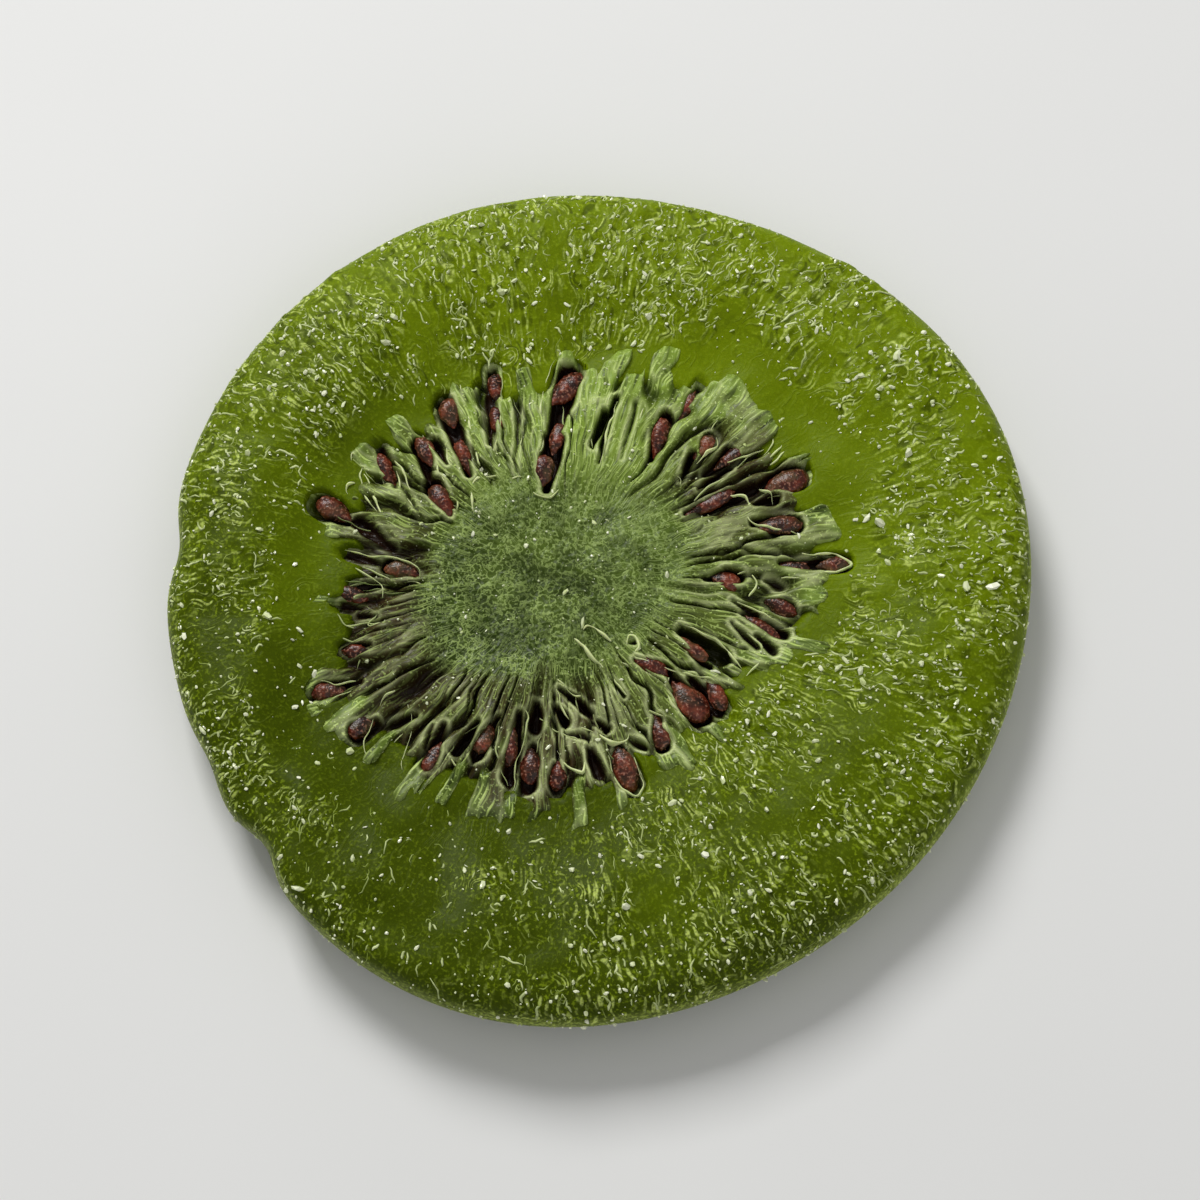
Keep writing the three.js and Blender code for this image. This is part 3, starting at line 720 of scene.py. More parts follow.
def make_pith(face, name, material):
    points, ring_rows, beyond_rows, core_rows = face["pith_mesh"]
    rings = []
    for k in range(1, core_rows):
        angle = np.linspace(0, 360, max(8, points * k // (2 * core_rows)), endpoint=False)
        rings.append(at(angle, around(CORE_EDGE, angle) * k / core_rows))
    angle = np.linspace(0, 360, points, endpoint=False)
    inner, outer = ring_span(angle)
    rings += [at(angle, mix(inner, outer, t)) for t in np.linspace(0, 1, ring_rows, endpoint=False)]
    rings += [at(angle, outer + out) for out in np.linspace(0, PITH_BEYOND, beyond_rows)]
    sizes = np.cumsum([len(ring) for ring in rings])[:-1]
    xy = np.concatenate(rings)
    z, facts = pith_shape(face, xy)
    bottom = face["level"] - face["pocket"] - 2 * HIDDEN_DROP
    closing = np.column_stack([rings[-1], np.full(points, bottom)])
    top_rings = np.split(np.column_stack([xy, z]), sizes)
    middle_z = top_rings[0][:, 2].mean()
    verts, faces = skin([*top_rings, closing], [*CORE_CENTRE, middle_z], [*CORE_CENTRE, bottom])
    rest = np.zeros(points)
    values = {key: np.concatenate([value, rest, value[:1], [0.0]]) for key, value in facts.items()}
    return add_piece(name, [(*settle(face, verts, faces), values)], material)


# ---------------------------------------------------------------- torn edges that stand round the pockets
EDGE_SECTIONS = 26  # rings of points along one
EDGE_SIDES = 10
LOOSE_EDGES = 30  # on each face, besides the listed ones


def curve(places, count):
    """A smooth path through a few places (angle, distance)."""
    knots = np.array([at(*place) for place in places])
    knots = np.concatenate([2 * knots[:1] - knots[1:2], knots, 2 * knots[-1:] - knots[-2:-1]])
    share = np.linspace(0, len(places) - 1, count)
    k = np.minimum(share.astype(int), len(places) - 2)
    f = (share - k)[:, None]
    a, b, c, d = knots[k], knots[k + 1], knots[k + 2], knots[k + 3]
    return b + 0.5 * f * (c - a + f * (2 * a - 5 * b + 4 * c - d + f * (3 * (b - c) + d - a)))


def edge_part(face, xy, thickness, pale, brown, lift):
    """A thin skin that stands on edge along xy, thinner towards its ends."""
    points = level_points(xy)
    z = height(face, wall_depth(face, xy), xy) + lift + 0.13 * noise(points, 0.8, 171)
    taper = np.sin(np.linspace(0.12, pi - 0.12, len(xy))) ** 0.5
    body = (thickness * taper * (1 + 0.8 * noise(points, 0.5, 172)))[None]
    path = np.column_stack([swirled(points, 0.6, 0.1, 176)[:, :2], z])[None]
    verts, faces = tubes(path, UP, 0.45 * body, 1.2 * body, EDGE_SIDES)
    verts = swirled(verts[0], 0.4, 0.3 * thickness, 173)
    return (*settle(face, verts, faces), {"pale": pale, "brown": brown})


def loose_edges(face, rng):
    """Short thin skins at random, most of them where the ring is brown."""
    parts = []
    while len(parts) < LOOSE_EDGES:
        angle = rng.uniform(0, 360)
        brown = float(around(BROWN, angle))
        if rng.uniform() > 0.25 + 0.75 * brown:
            continue
        inner, outer = (float(edge) for edge in ring_span(angle))
        start, length = mix(inner, outer, rng.uniform(0.05, 0.75)), rng.uniform(0.8, 2.6)
        turn = rng.uniform(-4, 4)
        places = [(angle + turn * s**2 + rng.uniform(-1, 1), start + length * s) for s in (0, 0.35, 0.7, 1)]
        pale = float(np.clip(around(RIM_LIGHT, angle) * rng.uniform(0.3, 1.1), 0, 1))
        xy = curve(places, EDGE_SECTIONS)
        thickness, lift = rng.uniform(0.05, 0.09), rng.uniform(-0.3, -0.05)
        parts.append(edge_part(face, xy, thickness, pale, brown * rng.uniform(0, 1), lift))
    return parts


def make_torn_edges(face, name, material, rng):
    parts = loose_edges(face, rng)
    if face is TOP:
        for thickness, pale, places in TORN_EDGES:
            parts.append(edge_part(face, curve(places, EDGE_SECTIONS), thickness, pale, 0.0, -0.04))
    return add_piece(name, parts, material)


# ---------------------------------------------------------------- seeds
SEED_RINGS = 30
SEED_POINTS = 32
SEED_DEPTH = 0.3  # how far the middle of a seed lies below the walls' tops


def seed_part(face, seed, rng):
    """A flattened teardrop with a pitted skin, its narrow end towards the core."""
    angle, distance, length, width, turn = seed
    xy = at(angle, distance)
    depth = float(wall_depth(face, xy[None])[0]) + SEED_DEPTH + rng.uniform(-0.1, 0.12)
    centre = np.array([*xy, height(face, depth, xy)])
    a, pitch, roll = radians(angle + turn), radians(rng.uniform(-9, 6)), radians(rng.uniform(-25, 25))
    axis = np.array([cos(a) * cos(pitch), sin(a) * cos(pitch), sin(pitch)])
    side = np.array([-sin(a), cos(a), 0.0])
    up = np.cross(axis, side)
    side, up = side * cos(roll) + up * sin(roll), up * cos(roll) - side * sin(roll)
    x = -np.cos(pi * np.arange(1, SEED_RINGS + 1) / (SEED_RINGS + 1))
    swell = np.sqrt(1 - x**2) * (1 + 0.24 * x) * (1 - 0.28 * smooth((-x - 0.35) / 0.65))
    psi = -np.arange(SEED_POINTS) * 2 * pi / SEED_POINTS
    along, across, upwards = x[:, None], swell[:, None] * np.cos(psi), swell[:, None] * np.sin(psi)
    ball = np.stack(np.broadcast_arrays(along, across, upwards), -1)
    size = np.array([length, width, width * SEED_THICKNESS]) / 2
    real = (ball * size + rng.uniform(0, 50)).reshape(-1, 3)
    pits = 0.03 * ridges(real, 0.32, 101) + 0.03 * noise(real, 0.5, 102)
    local = ball * size * (1 + (pits / size[2]).reshape(ball.shape[:2]))[..., None]
    world = centre + local[..., :1] * axis + local[..., 1:2] * side + local[..., 2:] * up
    ends = centre + np.outer([-1, 1], axis) * size[0]
    verts, faces = skin(list(world), ends[0], ends[1])
    pit = np.concatenate([pits, [0, 0]]) / 0.05
    values = {"pit": pit, "dull": rng.uniform(0, 1) ** 2, "tint": rng.uniform(0, 1)}
    return (*settle(face, verts, faces), values)


def make_seeds(face, name, material, rng):
    return add_piece(name, [seed_part(face, seed, rng) for seed in face["seeds"]], material)


# ---------------------------------------------------------------- frost and sugar on the flesh
THREADS = 3000
THREAD_TAPER = np.array([0.4, 0.85, 1.0, 1.0, 0.85, 0.4])  # share of its width, from end to end
THREAD_SIDES = 4
SHORTEST_THREAD = 0.15
LONGEST_THREAD = 1.5
GRAINS = 2600
PITH_GRAINS = 420
RIM_GRAINS = 900
GRAIN_SIZE = 0.052
SMALL_GRAIN_SIZE = 0.042
OUTERMOST_SHARE = 0.985  # of the flesh, where the threads and grains of the face end
FURTHEST = 24  # about the most that the outline is away from the core's centre
DRAWS = 4000  # random spots tried at a time


def plain_flesh(angle, out):
    """Points of the upper flesh without its fine relief."""
    xy = mix(ring_edge(angle), outline(angle), out[:, None])
    return np.column_stack([xy, flesh_height(TOP, angle, out, xy)])


def on_flesh(angle, out):
    """Points of the upper flesh's surface and their normals."""
    here = plain_flesh(angle, out)
    outwards, onwards = plain_flesh(angle, out + 0.01) - here, plain_flesh(angle + 0.2, out) - here
    normal = unit(np.cross(outwards, onwards))
    relief, _, _ = flesh_relief(here, angle, out * reach(angle))
    return here + normal * relief[:, None], normal


def scattered(count, rng, least):
    """Random spots on the flesh, by angle and share, kept in proportion to the frost there."""
    angles, outs = np.empty(0), np.empty(0)
    while len(angles) < count:
        angle, out = rng.uniform(0, 360, DRAWS), rng.uniform(0.0, OUTERMOST_SHARE, DRAWS)
        points = plain_flesh(angle, out)
        wanted = least + frosted(points, angle, out * reach(angle))
        room = np.linalg.norm(points[:, :2] - CORE_CENTRE, axis=1) / FURTHEST
        clear = nearest_drop(points[:, :2], TOP["pockets"])[0] > 0.2
        kept = clear & (rng.uniform(0, 1.1, DRAWS) < wanted * room)
        angles, outs = np.append(angles, angle[kept]), np.append(outs, out[kept])
    return angles[:count], outs[:count]


def make_threads(material, rng):
    """Short pale curls of dried juice, most of which run outwards."""
    angle, out = scattered(THREADS, rng, 0.03)
    length = np.clip(rng.lognormal(-1.0, 0.5, THREADS), SHORTEST_THREAD, LONGEST_THREAD)
    heading = rng.normal(0, 0.4, THREADS)
    heading[: THREADS // 4] = rng.uniform(-pi, pi, THREADS // 4)
    bend = rng.normal(0, 0.9, THREADS) * np.minimum(1, 0.6 / length)
    bend[::16] = rng.uniform(2.2, 4.0, len(bend[::16]))
    sections = len(THREAD_TAPER)
    step = np.linspace(-0.5, 0.5, sections)
    turned = heading[:, None] + bend[:, None] * step * 2 + 0.3 * np.sin(9 * step + 6 * angle[:, None])
    gap = length[:, None] / (sections - 1)
    outwards = np.cumsum(np.cos(turned), axis=1) * gap
    sideways = np.cumsum(np.sin(turned), axis=1) * gap
    radius = around(RING_EDGE, angle) + out * reach(angle)
    angles = angle[:, None] + np.degrees(sideways / radius[:, None])
    outs = np.clip(out[:, None] + outwards / reach(angle)[:, None], 0, OUTERMOST_SHARE)
    paths, normals = on_flesh(angles.ravel(), outs.ravel())
    paths, normals = (v.reshape(THREADS, sections, 3) for v in (paths, normals))
    tint = rng.uniform(0, 1, THREADS) ** 1.5
    half = (0.028 + 0.045 * tint * rng.uniform(0.4, 1.3, THREADS))[:, None] * THREAD_TAPER
    verts, faces = tubes(paths, normals, half, 0.7 * half, THREAD_SIDES)
    parts = [(v, faces, {"tint": shade}) for v, shade in zip(verts, tint)]
    return add_piece("frost_threads", parts, material)


def on_rim(rng):
    """Random points on the rounded edge, where the face's own grains end, and their normals.

    fall is how many degrees the surface there looks down.
    """
    angle, fall = rng.uniform(0, 360, RIM_GRAINS), rng.uniform(-20, 55, RIM_GRAINS)
    slant = np.radians(np.abs(fall))
    level = mix(RIM_WIDEST, np.where(fall < 0, TOP["level"], UNDER["level"]), np.sin(slant))
    rounding = np.where(fall < 0, TOP["rounding"], UNDER["rounding"])
    rim = outline(angle)
    outwards = unit(rim - CORE_CENTRE)
    xy = rim - outwards * (rounding * (1 - np.cos(slant)))[:, None]
    here = np.column_stack([xy, level + edge_lift(angle, np.ones(RIM_GRAINS))])
    return here, np.column_stack([outwards * np.cos(slant)[:, None], np.sin(np.radians(-fall))])


def icosahedron():
    """Corners at a distance of 1 from the middle, and the 20 faces."""
    golden = (1 + 5**0.5) / 2
    corners = [(0, y, z * golden) for y in (-1, 1) for z in (-1, 1)]
    corners = np.array([np.roll(c, k) for c in corners for k in range(3)], float)
    near = 2.01  # the sides are 2 long before the corners are drawn in
    faces = []
    for i in range(12):
        for j in range(i + 1, 12):
            for k in range(j + 1, 12):
                sides = [np.linalg.norm(corners[a] - corners[b]) for a, b in ((i, j), (j, k), (i, k))]
                if max(sides) < near:
                    out = np.dot(np.cross(corners[j] - corners[i], corners[k] - corners[i]), corners[i])
                    faces.append([i, j, k] if out > 0 else [i, k, j])
    return corners / np.linalg.norm(corners[0]), faces


def on_pith(rng):
    """Random points on the core and the walls, clear of the pockets."""
    angle = rng.uniform(0, 360, 2 * PITH_GRAINS)
    xy = at(angle, around(RING_EDGE, angle) * np.sqrt(rng.uniform(0, 0.9, 2 * PITH_GRAINS)))
    xy = xy[nearest_drop(xy, TOP["pockets"])[0] > 0.1][:PITH_GRAINS]
    z, _ = pith_shape(TOP, xy)
    return np.column_stack([xy, z])


def make_grains(material, rng):
    """Sugar crystals set at random, thickest where the frost is."""
    centres, normals = on_flesh(*scattered(GRAINS, rng, 0.2))
    extra = on_pith(rng)
    rim, rim_normals = on_rim(rng)
    centres = np.concatenate([centres, extra, rim])
    normals = np.concatenate([normals, np.tile(UP, (len(extra), 1)), rim_normals])
    shape, faces = icosahedron()
    parts = []
    for k, (centre, normal) in enumerate(zip(centres, normals)):
        size = (GRAIN_SIZE if k < GRAINS else SMALL_GRAIN_SIZE) * np.exp(rng.normal(0, 0.48))
        stretch = size * np.array([rng.uniform(0.9, 2.2), 1.0, rng.uniform(0.5, 1.0)])
        spin, _ = np.linalg.qr(rng.normal(size=(3, 3)))
        if np.linalg.det(spin) < 0:
            spin[:, 0] *= -1
        rough = shape * rng.uniform(0.75, 1.25, (12, 1))
        verts = (rough * stretch) @ spin.T + centre + normal * 0.1 * size
        parts.append((verts, faces, {"tint": rng.uniform(0, 1)}))
    return add_piece("sugar_grains", parts, material, smooth_shading=False)


# ---------------------------------------------------------------- materials
STROKE_DISTANCE = 16  # from the core's centre, where painted strokes are as wide as they say


def srgb(red, green, blue):
    """A colour read as 0 to 255 on a screen, as the linear colour that a shader takes."""
    c = np.array([red, green, blue]) / 255
    linear = np.where(c <= 0.04045, c / 12.92, ((c + 0.055) / 1.055) ** 2.4)
    return (*linear.tolist(), 1.0)


class Graph:
    """A material. Most calls add a node or more and return the output that is used."""

    def __init__(self, name):
        self.material = bpy.data.materials.new(name)
        self.material.use_nodes = True
        self.tree = self.material.node_tree
        self.shader = self.tree.nodes["Principled BSDF"]

    def add(self, kind, inputs, output=0, **settings):
        node = self.tree.nodes.new(kind)
        for key, value in settings.items():
            setattr(node, key, value)
        for key, value in inputs.items():
            self.feed(node.inputs[key], value)
        return node.outputs[output]

    def feed(self, socket, value):
        if isinstance(value, bpy.types.NodeSocket):
            self.tree.links.new(value, socket)
        else:
            socket.default_value = value

    def set(self, **inputs):
        for key, value in inputs.items():
            self.feed(self.shader.inputs[key.replace("_", " ")], value)

    def math(self, operation, a, b=0.0, c=0.0):
        return self.add("ShaderNodeMath", {0: a, 1: b, 2: c}, operation=operation)

    def times(self, *values):
        product, *others = values
        for value in others:
            product = self.math("MULTIPLY", product, value)
        return product

    def vector(self, operation, a, b=(0, 0, 0), output=0):
        return self.add("ShaderNodeVectorMath", {0: a, 1: b}, output, operation=operation)

    def noise(self, vector, size, detail=1.0):
        """Noise whose bumps are size millimetres across."""
        return self.add("ShaderNodeTexNoise", {"Vector": vector, "Scale": 1 / size, "Detail": detail})

    def ramp(self, value, low, high, to_low=0.0, to_high=1.0):
        inputs = {0: value, 1: low, 2: high, 3: to_low, 4: to_high}
        return self.add("ShaderNodeMapRange", inputs, interpolation_type="SMOOTHSTEP")

    def crest(self, value, width):
        """1 where a noise crosses its middle, falling to 0 within width."""
        off_middle = self.math("ABSOLUTE", self.math("SUBTRACT", value, 0.5))
        return self.ramp(off_middle, 0.0, width, 1.0, 0.0)

    def blend(self, factor, a, b):
        return self.add("ShaderNodeMix", {0: factor, 6: a, 7: b}, 2, data_type="RGBA")

    def coats(self, color, *coats):
        """The colour under coats of others in turn, each (how much of it shows, colour)."""
        for factor, coat in coats:
            color = self.blend(factor, color, coat)
        return color

    def values(self, *names):
        """The numbers of these names that the mesh holds for each vertex."""
        return [self.add("ShaderNodeAttribute", {}, 2, attribute_name=name) for name in names]

    def slant(self, at_mm, per_x, per_y):
        """A number that grows by these for each millimetre."""
        return self.vector("DOT_PRODUCT", at_mm, (per_x, per_y, 0.0), output=1)

    def bump(self, height, strength, depth):
        """Fine relief depth millimetres high."""
        return self.add("ShaderNodeBump", {"Strength": strength, "Distance": depth * MM, "Height": height})

    def scale(self, vector, factor):
        return self.add("ShaderNodeVectorMath", {0: vector, 3: factor}, operation="SCALE")

    def place(self):
        """Position in millimetres."""
        return self.scale(self.add("ShaderNodeTexCoord", {}, 3), 1 / MM)

    def warped(self, at_mm, size, amount):
        """The place moved by noise, amount millimetres from one side to the other."""
        moves = self.add("ShaderNodeTexNoise", {"Vector": at_mm, "Scale": 1 / size, "Detail": 0.0}, 1)
        return self.vector("ADD", at_mm, self.scale(self.vector("SUBTRACT", moves, (0.5, 0.5, 0.5)), amount))

    def dashes(self, at_mm, width, length, fill, fall=0.0):
        """Separate strokes that run outwards from the core, from 0 to 1, each as strong as chance has it.

        Each lies in a cell of that width and length, and fills that share of it. A millimetre down the edge
        counts as fall millimetres outwards.
        """
        away = self.vector("SUBTRACT", at_mm, (*CORE_CENTRE.tolist(), 0))
        x, y, z = (self.add("ShaderNodeSeparateXYZ", {0: away}, axis) for axis in range(3))
        round_it = self.times(self.math("ARCTAN2", y, x), STROKE_DISTANCE / width)
        flat = self.vector("LENGTH", self.vector("MULTIPLY", away, (1, 1, 0)), output=1)
        out = self.times(self.math("ADD", flat, self.times(z, -fall)), 1 / length)
        cell = {"Vector": self.add("ShaderNodeCombineXYZ", {0: round_it, 1: out}), "Scale": 1.0}
        distance = self.add("ShaderNodeTexVoronoi", cell, voronoi_dimensions="2D")
        strength = self.ramp(distance.node.outputs["Color"], 0.25, 0.75, 0.2, 1.0)
        return self.times(self.ramp(distance, fill, 0.4 * fill), strength)


FLESH_SHADE = srgb(48, 60, 0)
FLESH_DEEP = srgb(62, 76, 0)
FLESH_MID = srgb(88, 106, 0)
FLESH_BRIGHT = srgb(108, 128, 2)
FROST = srgb(196, 212, 112)
FROST_THIN = srgb(146, 168, 30)
PITH_SHADE = srgb(38, 50, 12)
PITH_DARK = srgb(46, 62, 10)
PITH_MID = srgb(86, 106, 36)
PITH_FELT = srgb(150, 170, 96)
PITH_PALE = srgb(138, 164, 62)
PITH_FIBRE = srgb(190, 212, 118)
CREAM = srgb(220, 230, 166)
# Painted shade, brown and green, for the pockets and for the gaps between and under the walls.
POCKET_SHADE_BROWN = srgb(32, 17, 8)
POCKET_SHADE_GREEN = srgb(34, 46, 4)
MEMBRANE_BROWN = srgb(66, 50, 28)
SEED_DARK = srgb(34, 10, 2)
SEED_DEEP = srgb(96, 32, 14)
SEED_BRIGHT = srgb(136, 60, 38)
# Pale speckles: partly the skin's own, partly painted glints.
SEED_SPECKLE_AND_GLINT = srgb(178, 126, 102)
SEED_FILM = srgb(104, 90, 56)


def flesh_material():
    """Saturated olive jelly under short pale strokes, which run outwards or curl."""
    g = Graph("dried flesh")
    at_mm = g.place()
    beyond, inset, frost, web = g.values("beyond", "inset", "frost", "web")
    # Random tone, plus painted light: the flesh is painted lighter towards +Y and a little towards +X.
    tone_and_painted_light = g.math("ADD", g.noise(at_mm, 6.0, 2.0), g.slant(at_mm, 0.014, 0.026))
    patches = g.noise(at_mm, 1.8)
    curled = g.warped(at_mm, 1.0, g.ramp(patches, 0.4, 0.65, 0.3, 2.2))
    light, dark = g.dashes(curled, 0.26, 1.5, 0.36, 1.0), g.dashes(curled, 0.38, 0.9, 0.5, 1.0)
    beads = g.noise(at_mm, 0.17)
    thick = g.ramp(frost, 0.0, 0.55, 0.15, 1.0)
    beaded = g.times(light, g.ramp(beads, 0.35, 0.6, 0.3, 1.0))
    lines = g.math("MAXIMUM", beaded, g.ramp(web, 0.7, 1.5, 0.0, 0.3))
    dotted = g.times(g.ramp(beads, 0.5, 0.75, 0.0, 0.6), g.ramp(frost, 0.0, 0.4, 0.3, 1.0))
    # A pale band along the outline: frost, and in part a painted highlight on the rounded edge.
    rim = g.times(g.ramp(inset, 0.0, 0.3, 0.45, 0.0), g.ramp(beads, 0.35, 0.65, 0.3, 1.0))
    color = g.coats(
        FLESH_DEEP,
        (g.ramp(tone_and_painted_light, 0.05, 0.6), FLESH_MID),
        (g.ramp(tone_and_painted_light, 0.5, 1.05), FLESH_BRIGHT),
        (dotted, FROST_THIN),
        (g.times(dark, 0.65, thick), FLESH_SHADE),
        (g.times(lines, 0.9, thick), g.blend(thick, FROST_THIN, FROST)),
        (g.times(rim, g.ramp(patches, 0.3, 0.6, 0.5, 1.0)), FROST),
        # Painted shade on the flesh where it falls away under the walls.
        (g.ramp(beyond, -SHOWS_WITHIN - 0.8, -SHOWS_WITHIN, 1.0, 0.0), POCKET_SHADE_BROWN),
    )
    g.set(
        Base_Color=color,
        Roughness=g.ramp(frost, 0.0, 0.5, 0.44, 0.5),
        Specular_IOR_Level=0.06,
        Subsurface_Weight=0.2,
        Subsurface_Radius=(0.5, 0.7, 0.1),
        Subsurface_Scale=0.8 * MM,
        Normal=g.bump(g.math("ADD", light, beads), 0.6, 0.03),
    )
    return g.material


def pith_material():
    """The core and walls: pale green felt and fibres, with brown or dark green painted shade in the pockets.
    """
    g = Graph("pith")
    at_mm = g.place()
    t, sunk, stain, edge = g.values("t", "sunk", "stain", "edge")
    brown, pale, crest = g.values("brown", "pale", "crest")
    patches = g.noise(at_mm, 1.5, 2.0)
    lit = g.math("ADD", patches, g.slant(at_mm, 0.018, 0.018))
    on_walls, strokes_show = g.ramp(t, -0.2, 0.25), g.ramp(t, -0.8, 0.2, 0.15, 1.0)
    specks = g.ramp(g.noise(at_mm, 0.17), 0.55, 0.75)
    felt = g.times(g.crest(g.noise(at_mm, 0.34, 2.0), 0.07), g.ramp(on_walls, 0.0, 1.0, 0.9, 0.0))
    felt = g.times(felt, g.ramp(patches, 0.35, 0.6, 0.3, 1.0))
    swayed = g.warped(at_mm, 1.2, 0.5)
    light, dark = g.dashes(swayed, 0.24, 1.8, 0.4), g.dashes(swayed, 0.32, 2.0, 0.5)
    shown = g.times(strokes_show, g.ramp(brown, 0.0, 1.0, 0.85, 0.35))
    fibres = g.times(g.math("MAXIMUM", light, specks), shown)
    shade = g.blend(brown, PITH_SHADE, POCKET_SHADE_BROWN)
    color = g.coats(
        PITH_DARK,
        (g.ramp(lit, 0.32, 0.72), PITH_MID),
        (g.times(specks, 0.55), PITH_FELT),
        (g.times(pale, g.ramp(patches, 0.2, 0.6, 0.5, 0.9)), PITH_PALE),
        (g.times(brown, g.ramp(patches, 0.8, 0.5)), MEMBRANE_BROWN),
        (g.times(dark, g.ramp(brown, 0.0, 1.0, 0.8, 0.95), on_walls), shade),
        (g.ramp(crest, -0.8, 0.2, 0.6, 0.0), shade),
        (g.math("MAXIMUM", felt, fibres), g.blend(on_walls, PITH_FELT, PITH_FIBRE)),
        (g.ramp(crest, 0.3, 1.2, 0.0, 0.25), PITH_FELT),
        # Painted shade in the pockets and the grooves between the walls, brown where a pocket is stained.
        (sunk, g.blend(stain, POCKET_SHADE_GREEN, POCKET_SHADE_BROWN)),
        # Pale lines along the pocket rims and the walls' sides: pale skin, and in part a painted highlight.
        (g.times(edge, 0.85), CREAM),
        (g.ramp(t, 0.98, 1.3, 0.0, 0.6), FLESH_MID),
    )
    g.set(
        Base_Color=color,
        Roughness=0.34,
        Specular_IOR_Level=0.14,
        Subsurface_Weight=0.15,
        Subsurface_Radius=(0.4, 0.5, 0.2),
        Subsurface_Scale=0.5 * MM,
        Normal=g.bump(g.math("ADD", light, specks), 0.6, 0.04),
    )
    return g.material


def edge_material():
    """Torn edges: cream, or brown where the ring is."""
    g = Graph("torn edges")
    pale, brown = g.values("pale", "brown")
    patches = g.noise(g.place(), 0.7)
    color = g.coats(
        PITH_MID,
        (g.times(pale, g.ramp(patches, 0.25, 0.5, 0.45, 1.0)), CREAM),
        (g.times(brown, g.ramp(patches, 0.65, 0.4)), MEMBRANE_BROWN),
    )
    g.set(
        Base_Color=color,
        Roughness=0.4,
        Specular_IOR_Level=0.25,
        Subsurface_Weight=0.3,
        Subsurface_Radius=(0.5, 0.6, 0.3),
        Subsurface_Scale=0.3 * MM,
    )
    return g.material


def seed_material():
    """Red-brown skin with painted shade in its pits, speckles and painted glints, and on some a dull film.
    """
    g = Graph("seed skin")
    at_mm = g.place()
    pit, dull, tint = g.values("pit", "dull", "tint")
    grain = g.noise(at_mm, 0.14)
    speckle_and_glint = g.ramp(grain, 0.56, 0.7)
    film = g.times(dull, g.ramp(g.noise(at_mm, 0.7), 0.4, 0.6))
    color = g.coats(
        SEED_DARK,
        # Painted shade: darker in the pits, and in the next coat in the hollows of the fine bump relief.
        (g.ramp(pit, -0.4, 0.8), g.blend(tint, SEED_DEEP, SEED_BRIGHT)),
        (g.ramp(grain, 0.5, 0.3, 0.0, 0.6), SEED_DARK),
        # Pale speckles on the tops of the bump relief: partly the skin's own, partly painted glints.
        (g.times(speckle_and_glint, 0.6), SEED_SPECKLE_AND_GLINT),
        (g.times(film, 0.4), SEED_FILM),
    )
    g.set(
        Base_Color=color,
        Roughness=g.ramp(speckle_and_glint, 0.0, 1.0, 0.34, 0.48),
        Specular_IOR_Level=0.38,
        Normal=g.bump(grain, 0.8, 0.05),
    )
    return g.material


def clouded(g, size, dull, bright, share, cloud):
    """From dull to bright by each small shape's own tint, with clouds of another colour in it.

    share is the ramp that says how much of the cloud colour shows.
    """
    (tint,) = g.values("tint")
    shown = g.ramp(g.noise(g.place(), size), *share)
    return g.coats(dull, (tint, bright), (shown, cloud))


def frost_material():
    """Dried juice, from dull green to cream."""
    g = Graph("frost")
    color = clouded(
        g, 0.5, srgb(140, 158, 60), srgb(222, 232, 172), (0.35, 0.6, 0.5, 0.0), srgb(100, 120, 16)
    )
    g.set(Base_Color=color, Roughness=0.35, Specular_IOR_Level=0.25)
    return g.material


def sugar_material():
    """Sugar, from green glass to nearly white."""
    g = Graph("sugar")
    color = clouded(
        g, 0.3, srgb(196, 210, 134), srgb(248, 250, 220), (0.4, 0.6, 0.0, 0.3), srgb(244, 246, 224)
    )
    g.set(Base_Color=color, Roughness=0.2, IOR=1.54)
    return g.material


def floor_material():
    g = Graph("pale floor")
    speck = g.noise(g.place(), 30.0, 2.0)
    g.set(Base_Color=g.blend(speck, srgb(228, 228, 226), srgb(234, 234, 232)), Roughness=0.7)
    return g.material


# ---------------------------------------------------------------- studio
VIEW_ELEVATION = 72
VIEW_AZIMUTH = -90
LENS = 120.0
SENSOR = 36.0
SLICE_SHARE_OF_FRAME = 0.72
FLOOR_SIZE = 3.0
SKY_STRENGTH = 0.32

# Soft square lamps: name, azimuth, elevation, distance and size in metres, watts.
LAMPS = [("key", 115, 42, 0.5, 0.18, 2.0), ("fill", -60, 40, 0.6, 0.5, 0.5)]


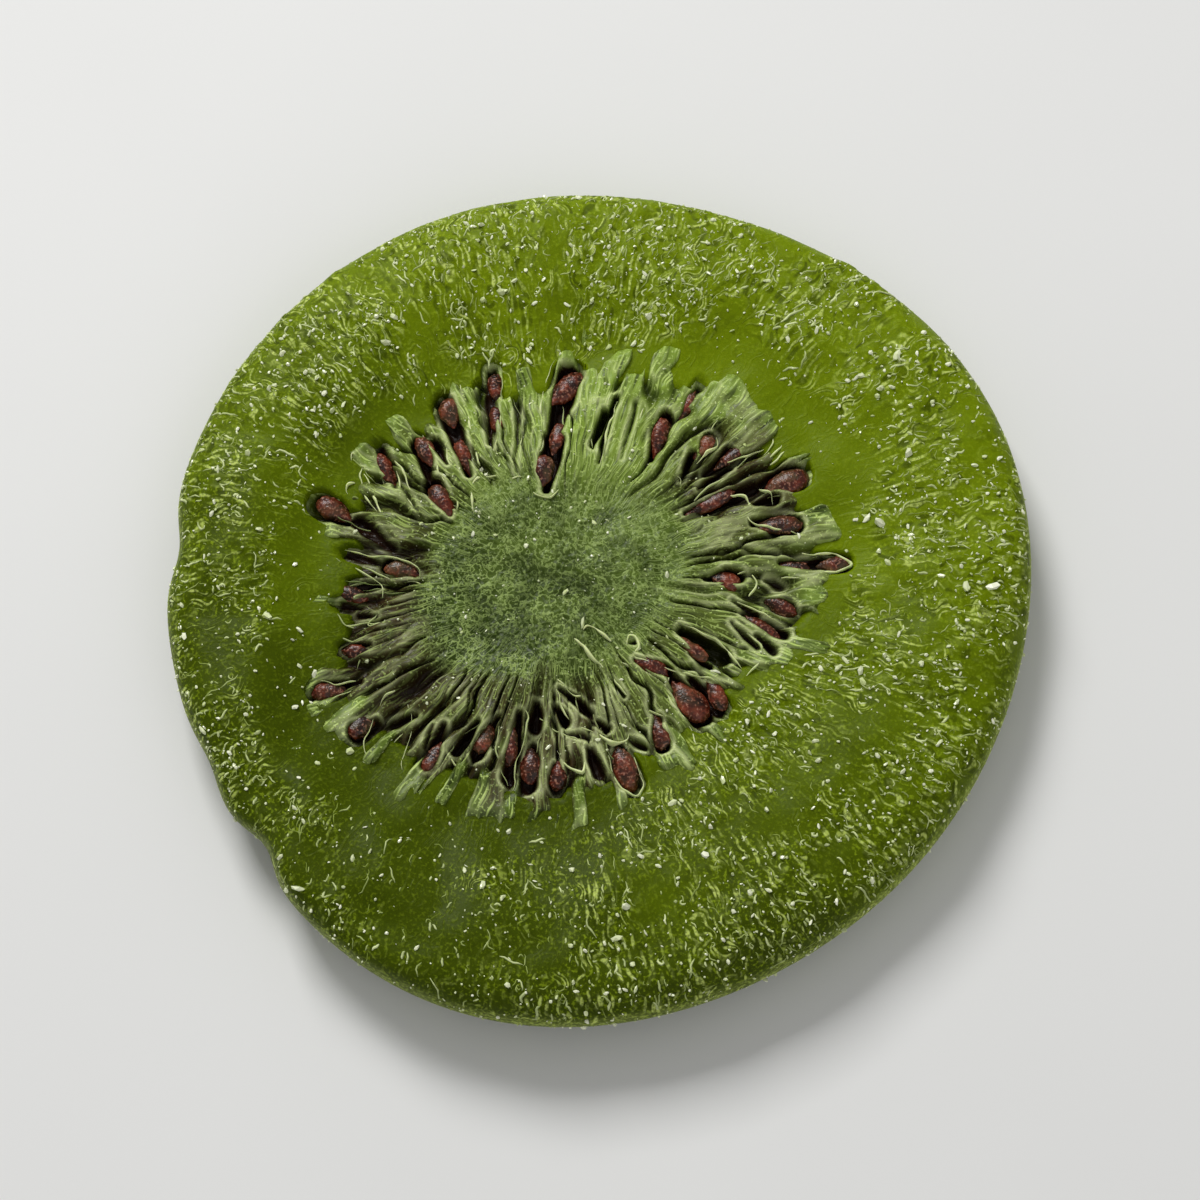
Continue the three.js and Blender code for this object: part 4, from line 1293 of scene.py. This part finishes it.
def aim(obj, target, azimuth, elevation, distance):
    """Sets a camera or a lamp that far from the target, looking at it: azimuth 0 is +X."""
    a, e = radians(azimuth), radians(elevation)
    obj.location = target + distance * Vector((cos(a) * cos(e), sin(a) * cos(e), sin(e)))
    obj.rotation_euler = (target - obj.location).to_track_quat("-Z", "Y").to_euler()


def add_camera():
    low, high = (np.array(c) for c in CAD_BOX)
    target = Vector(((low + high) / 2).tolist())
    distance = float(high[0] - low[0]) / SLICE_SHARE_OF_FRAME * LENS / SENSOR
    data = bpy.data.cameras.new("camera")
    data.lens, data.sensor_width, data.clip_start, data.clip_end = LENS, SENSOR, 0.01, 10.0
    camera = add_object("camera", data)
    aim(camera, target, VIEW_AZIMUTH, VIEW_ELEVATION, distance)
    bpy.context.scene.camera = camera


def add_lamps():
    for name, azimuth, elevation, distance, size, watts in LAMPS:
        data = bpy.data.lights.new(name, "AREA")
        data.shape, data.size, data.energy = "SQUARE", size, watts
        aim(add_object(name, data), Vector((0, 0, 0)), azimuth, elevation, distance)


def add_studio():
    bpy.ops.mesh.primitive_plane_add(size=FLOOR_SIZE)
    floor = bpy.context.object
    floor.name = "floor"
    floor.data.materials.append(floor_material())
    world = bpy.data.worlds.new("studio")
    world.use_nodes = True
    world.node_tree.nodes["Background"].inputs["Color"].default_value = (1, 1, 1, 1)
    world.node_tree.nodes["Background"].inputs["Strength"].default_value = SKY_STRENGTH
    bpy.context.scene.world = world
    add_lamps()
    bpy.context.scene.view_settings.view_transform = "Standard"


# ---------------------------------------------------------------- the slice
def build_slice():
    pith, edges, seeds = pith_material(), edge_material(), seed_material()
    flesh = make_flesh(flesh_material())
    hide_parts(NODE)
    for face, name, seed in ((TOP, "top", 1), (UNDER, "under", 2)):
        rng = np.random.default_rng(seed)
        make_pith(face, f"pith_{name}", pith)
        make_torn_edges(face, f"torn_edges_{name}", edges, rng)
        make_seeds(face, f"seeds_{name}", seeds, rng)
    rng = np.random.default_rng(3)
    make_threads(frost_material(), rng)
    make_grains(sugar_material(), rng)


add_camera()
add_studio()
build_slice()
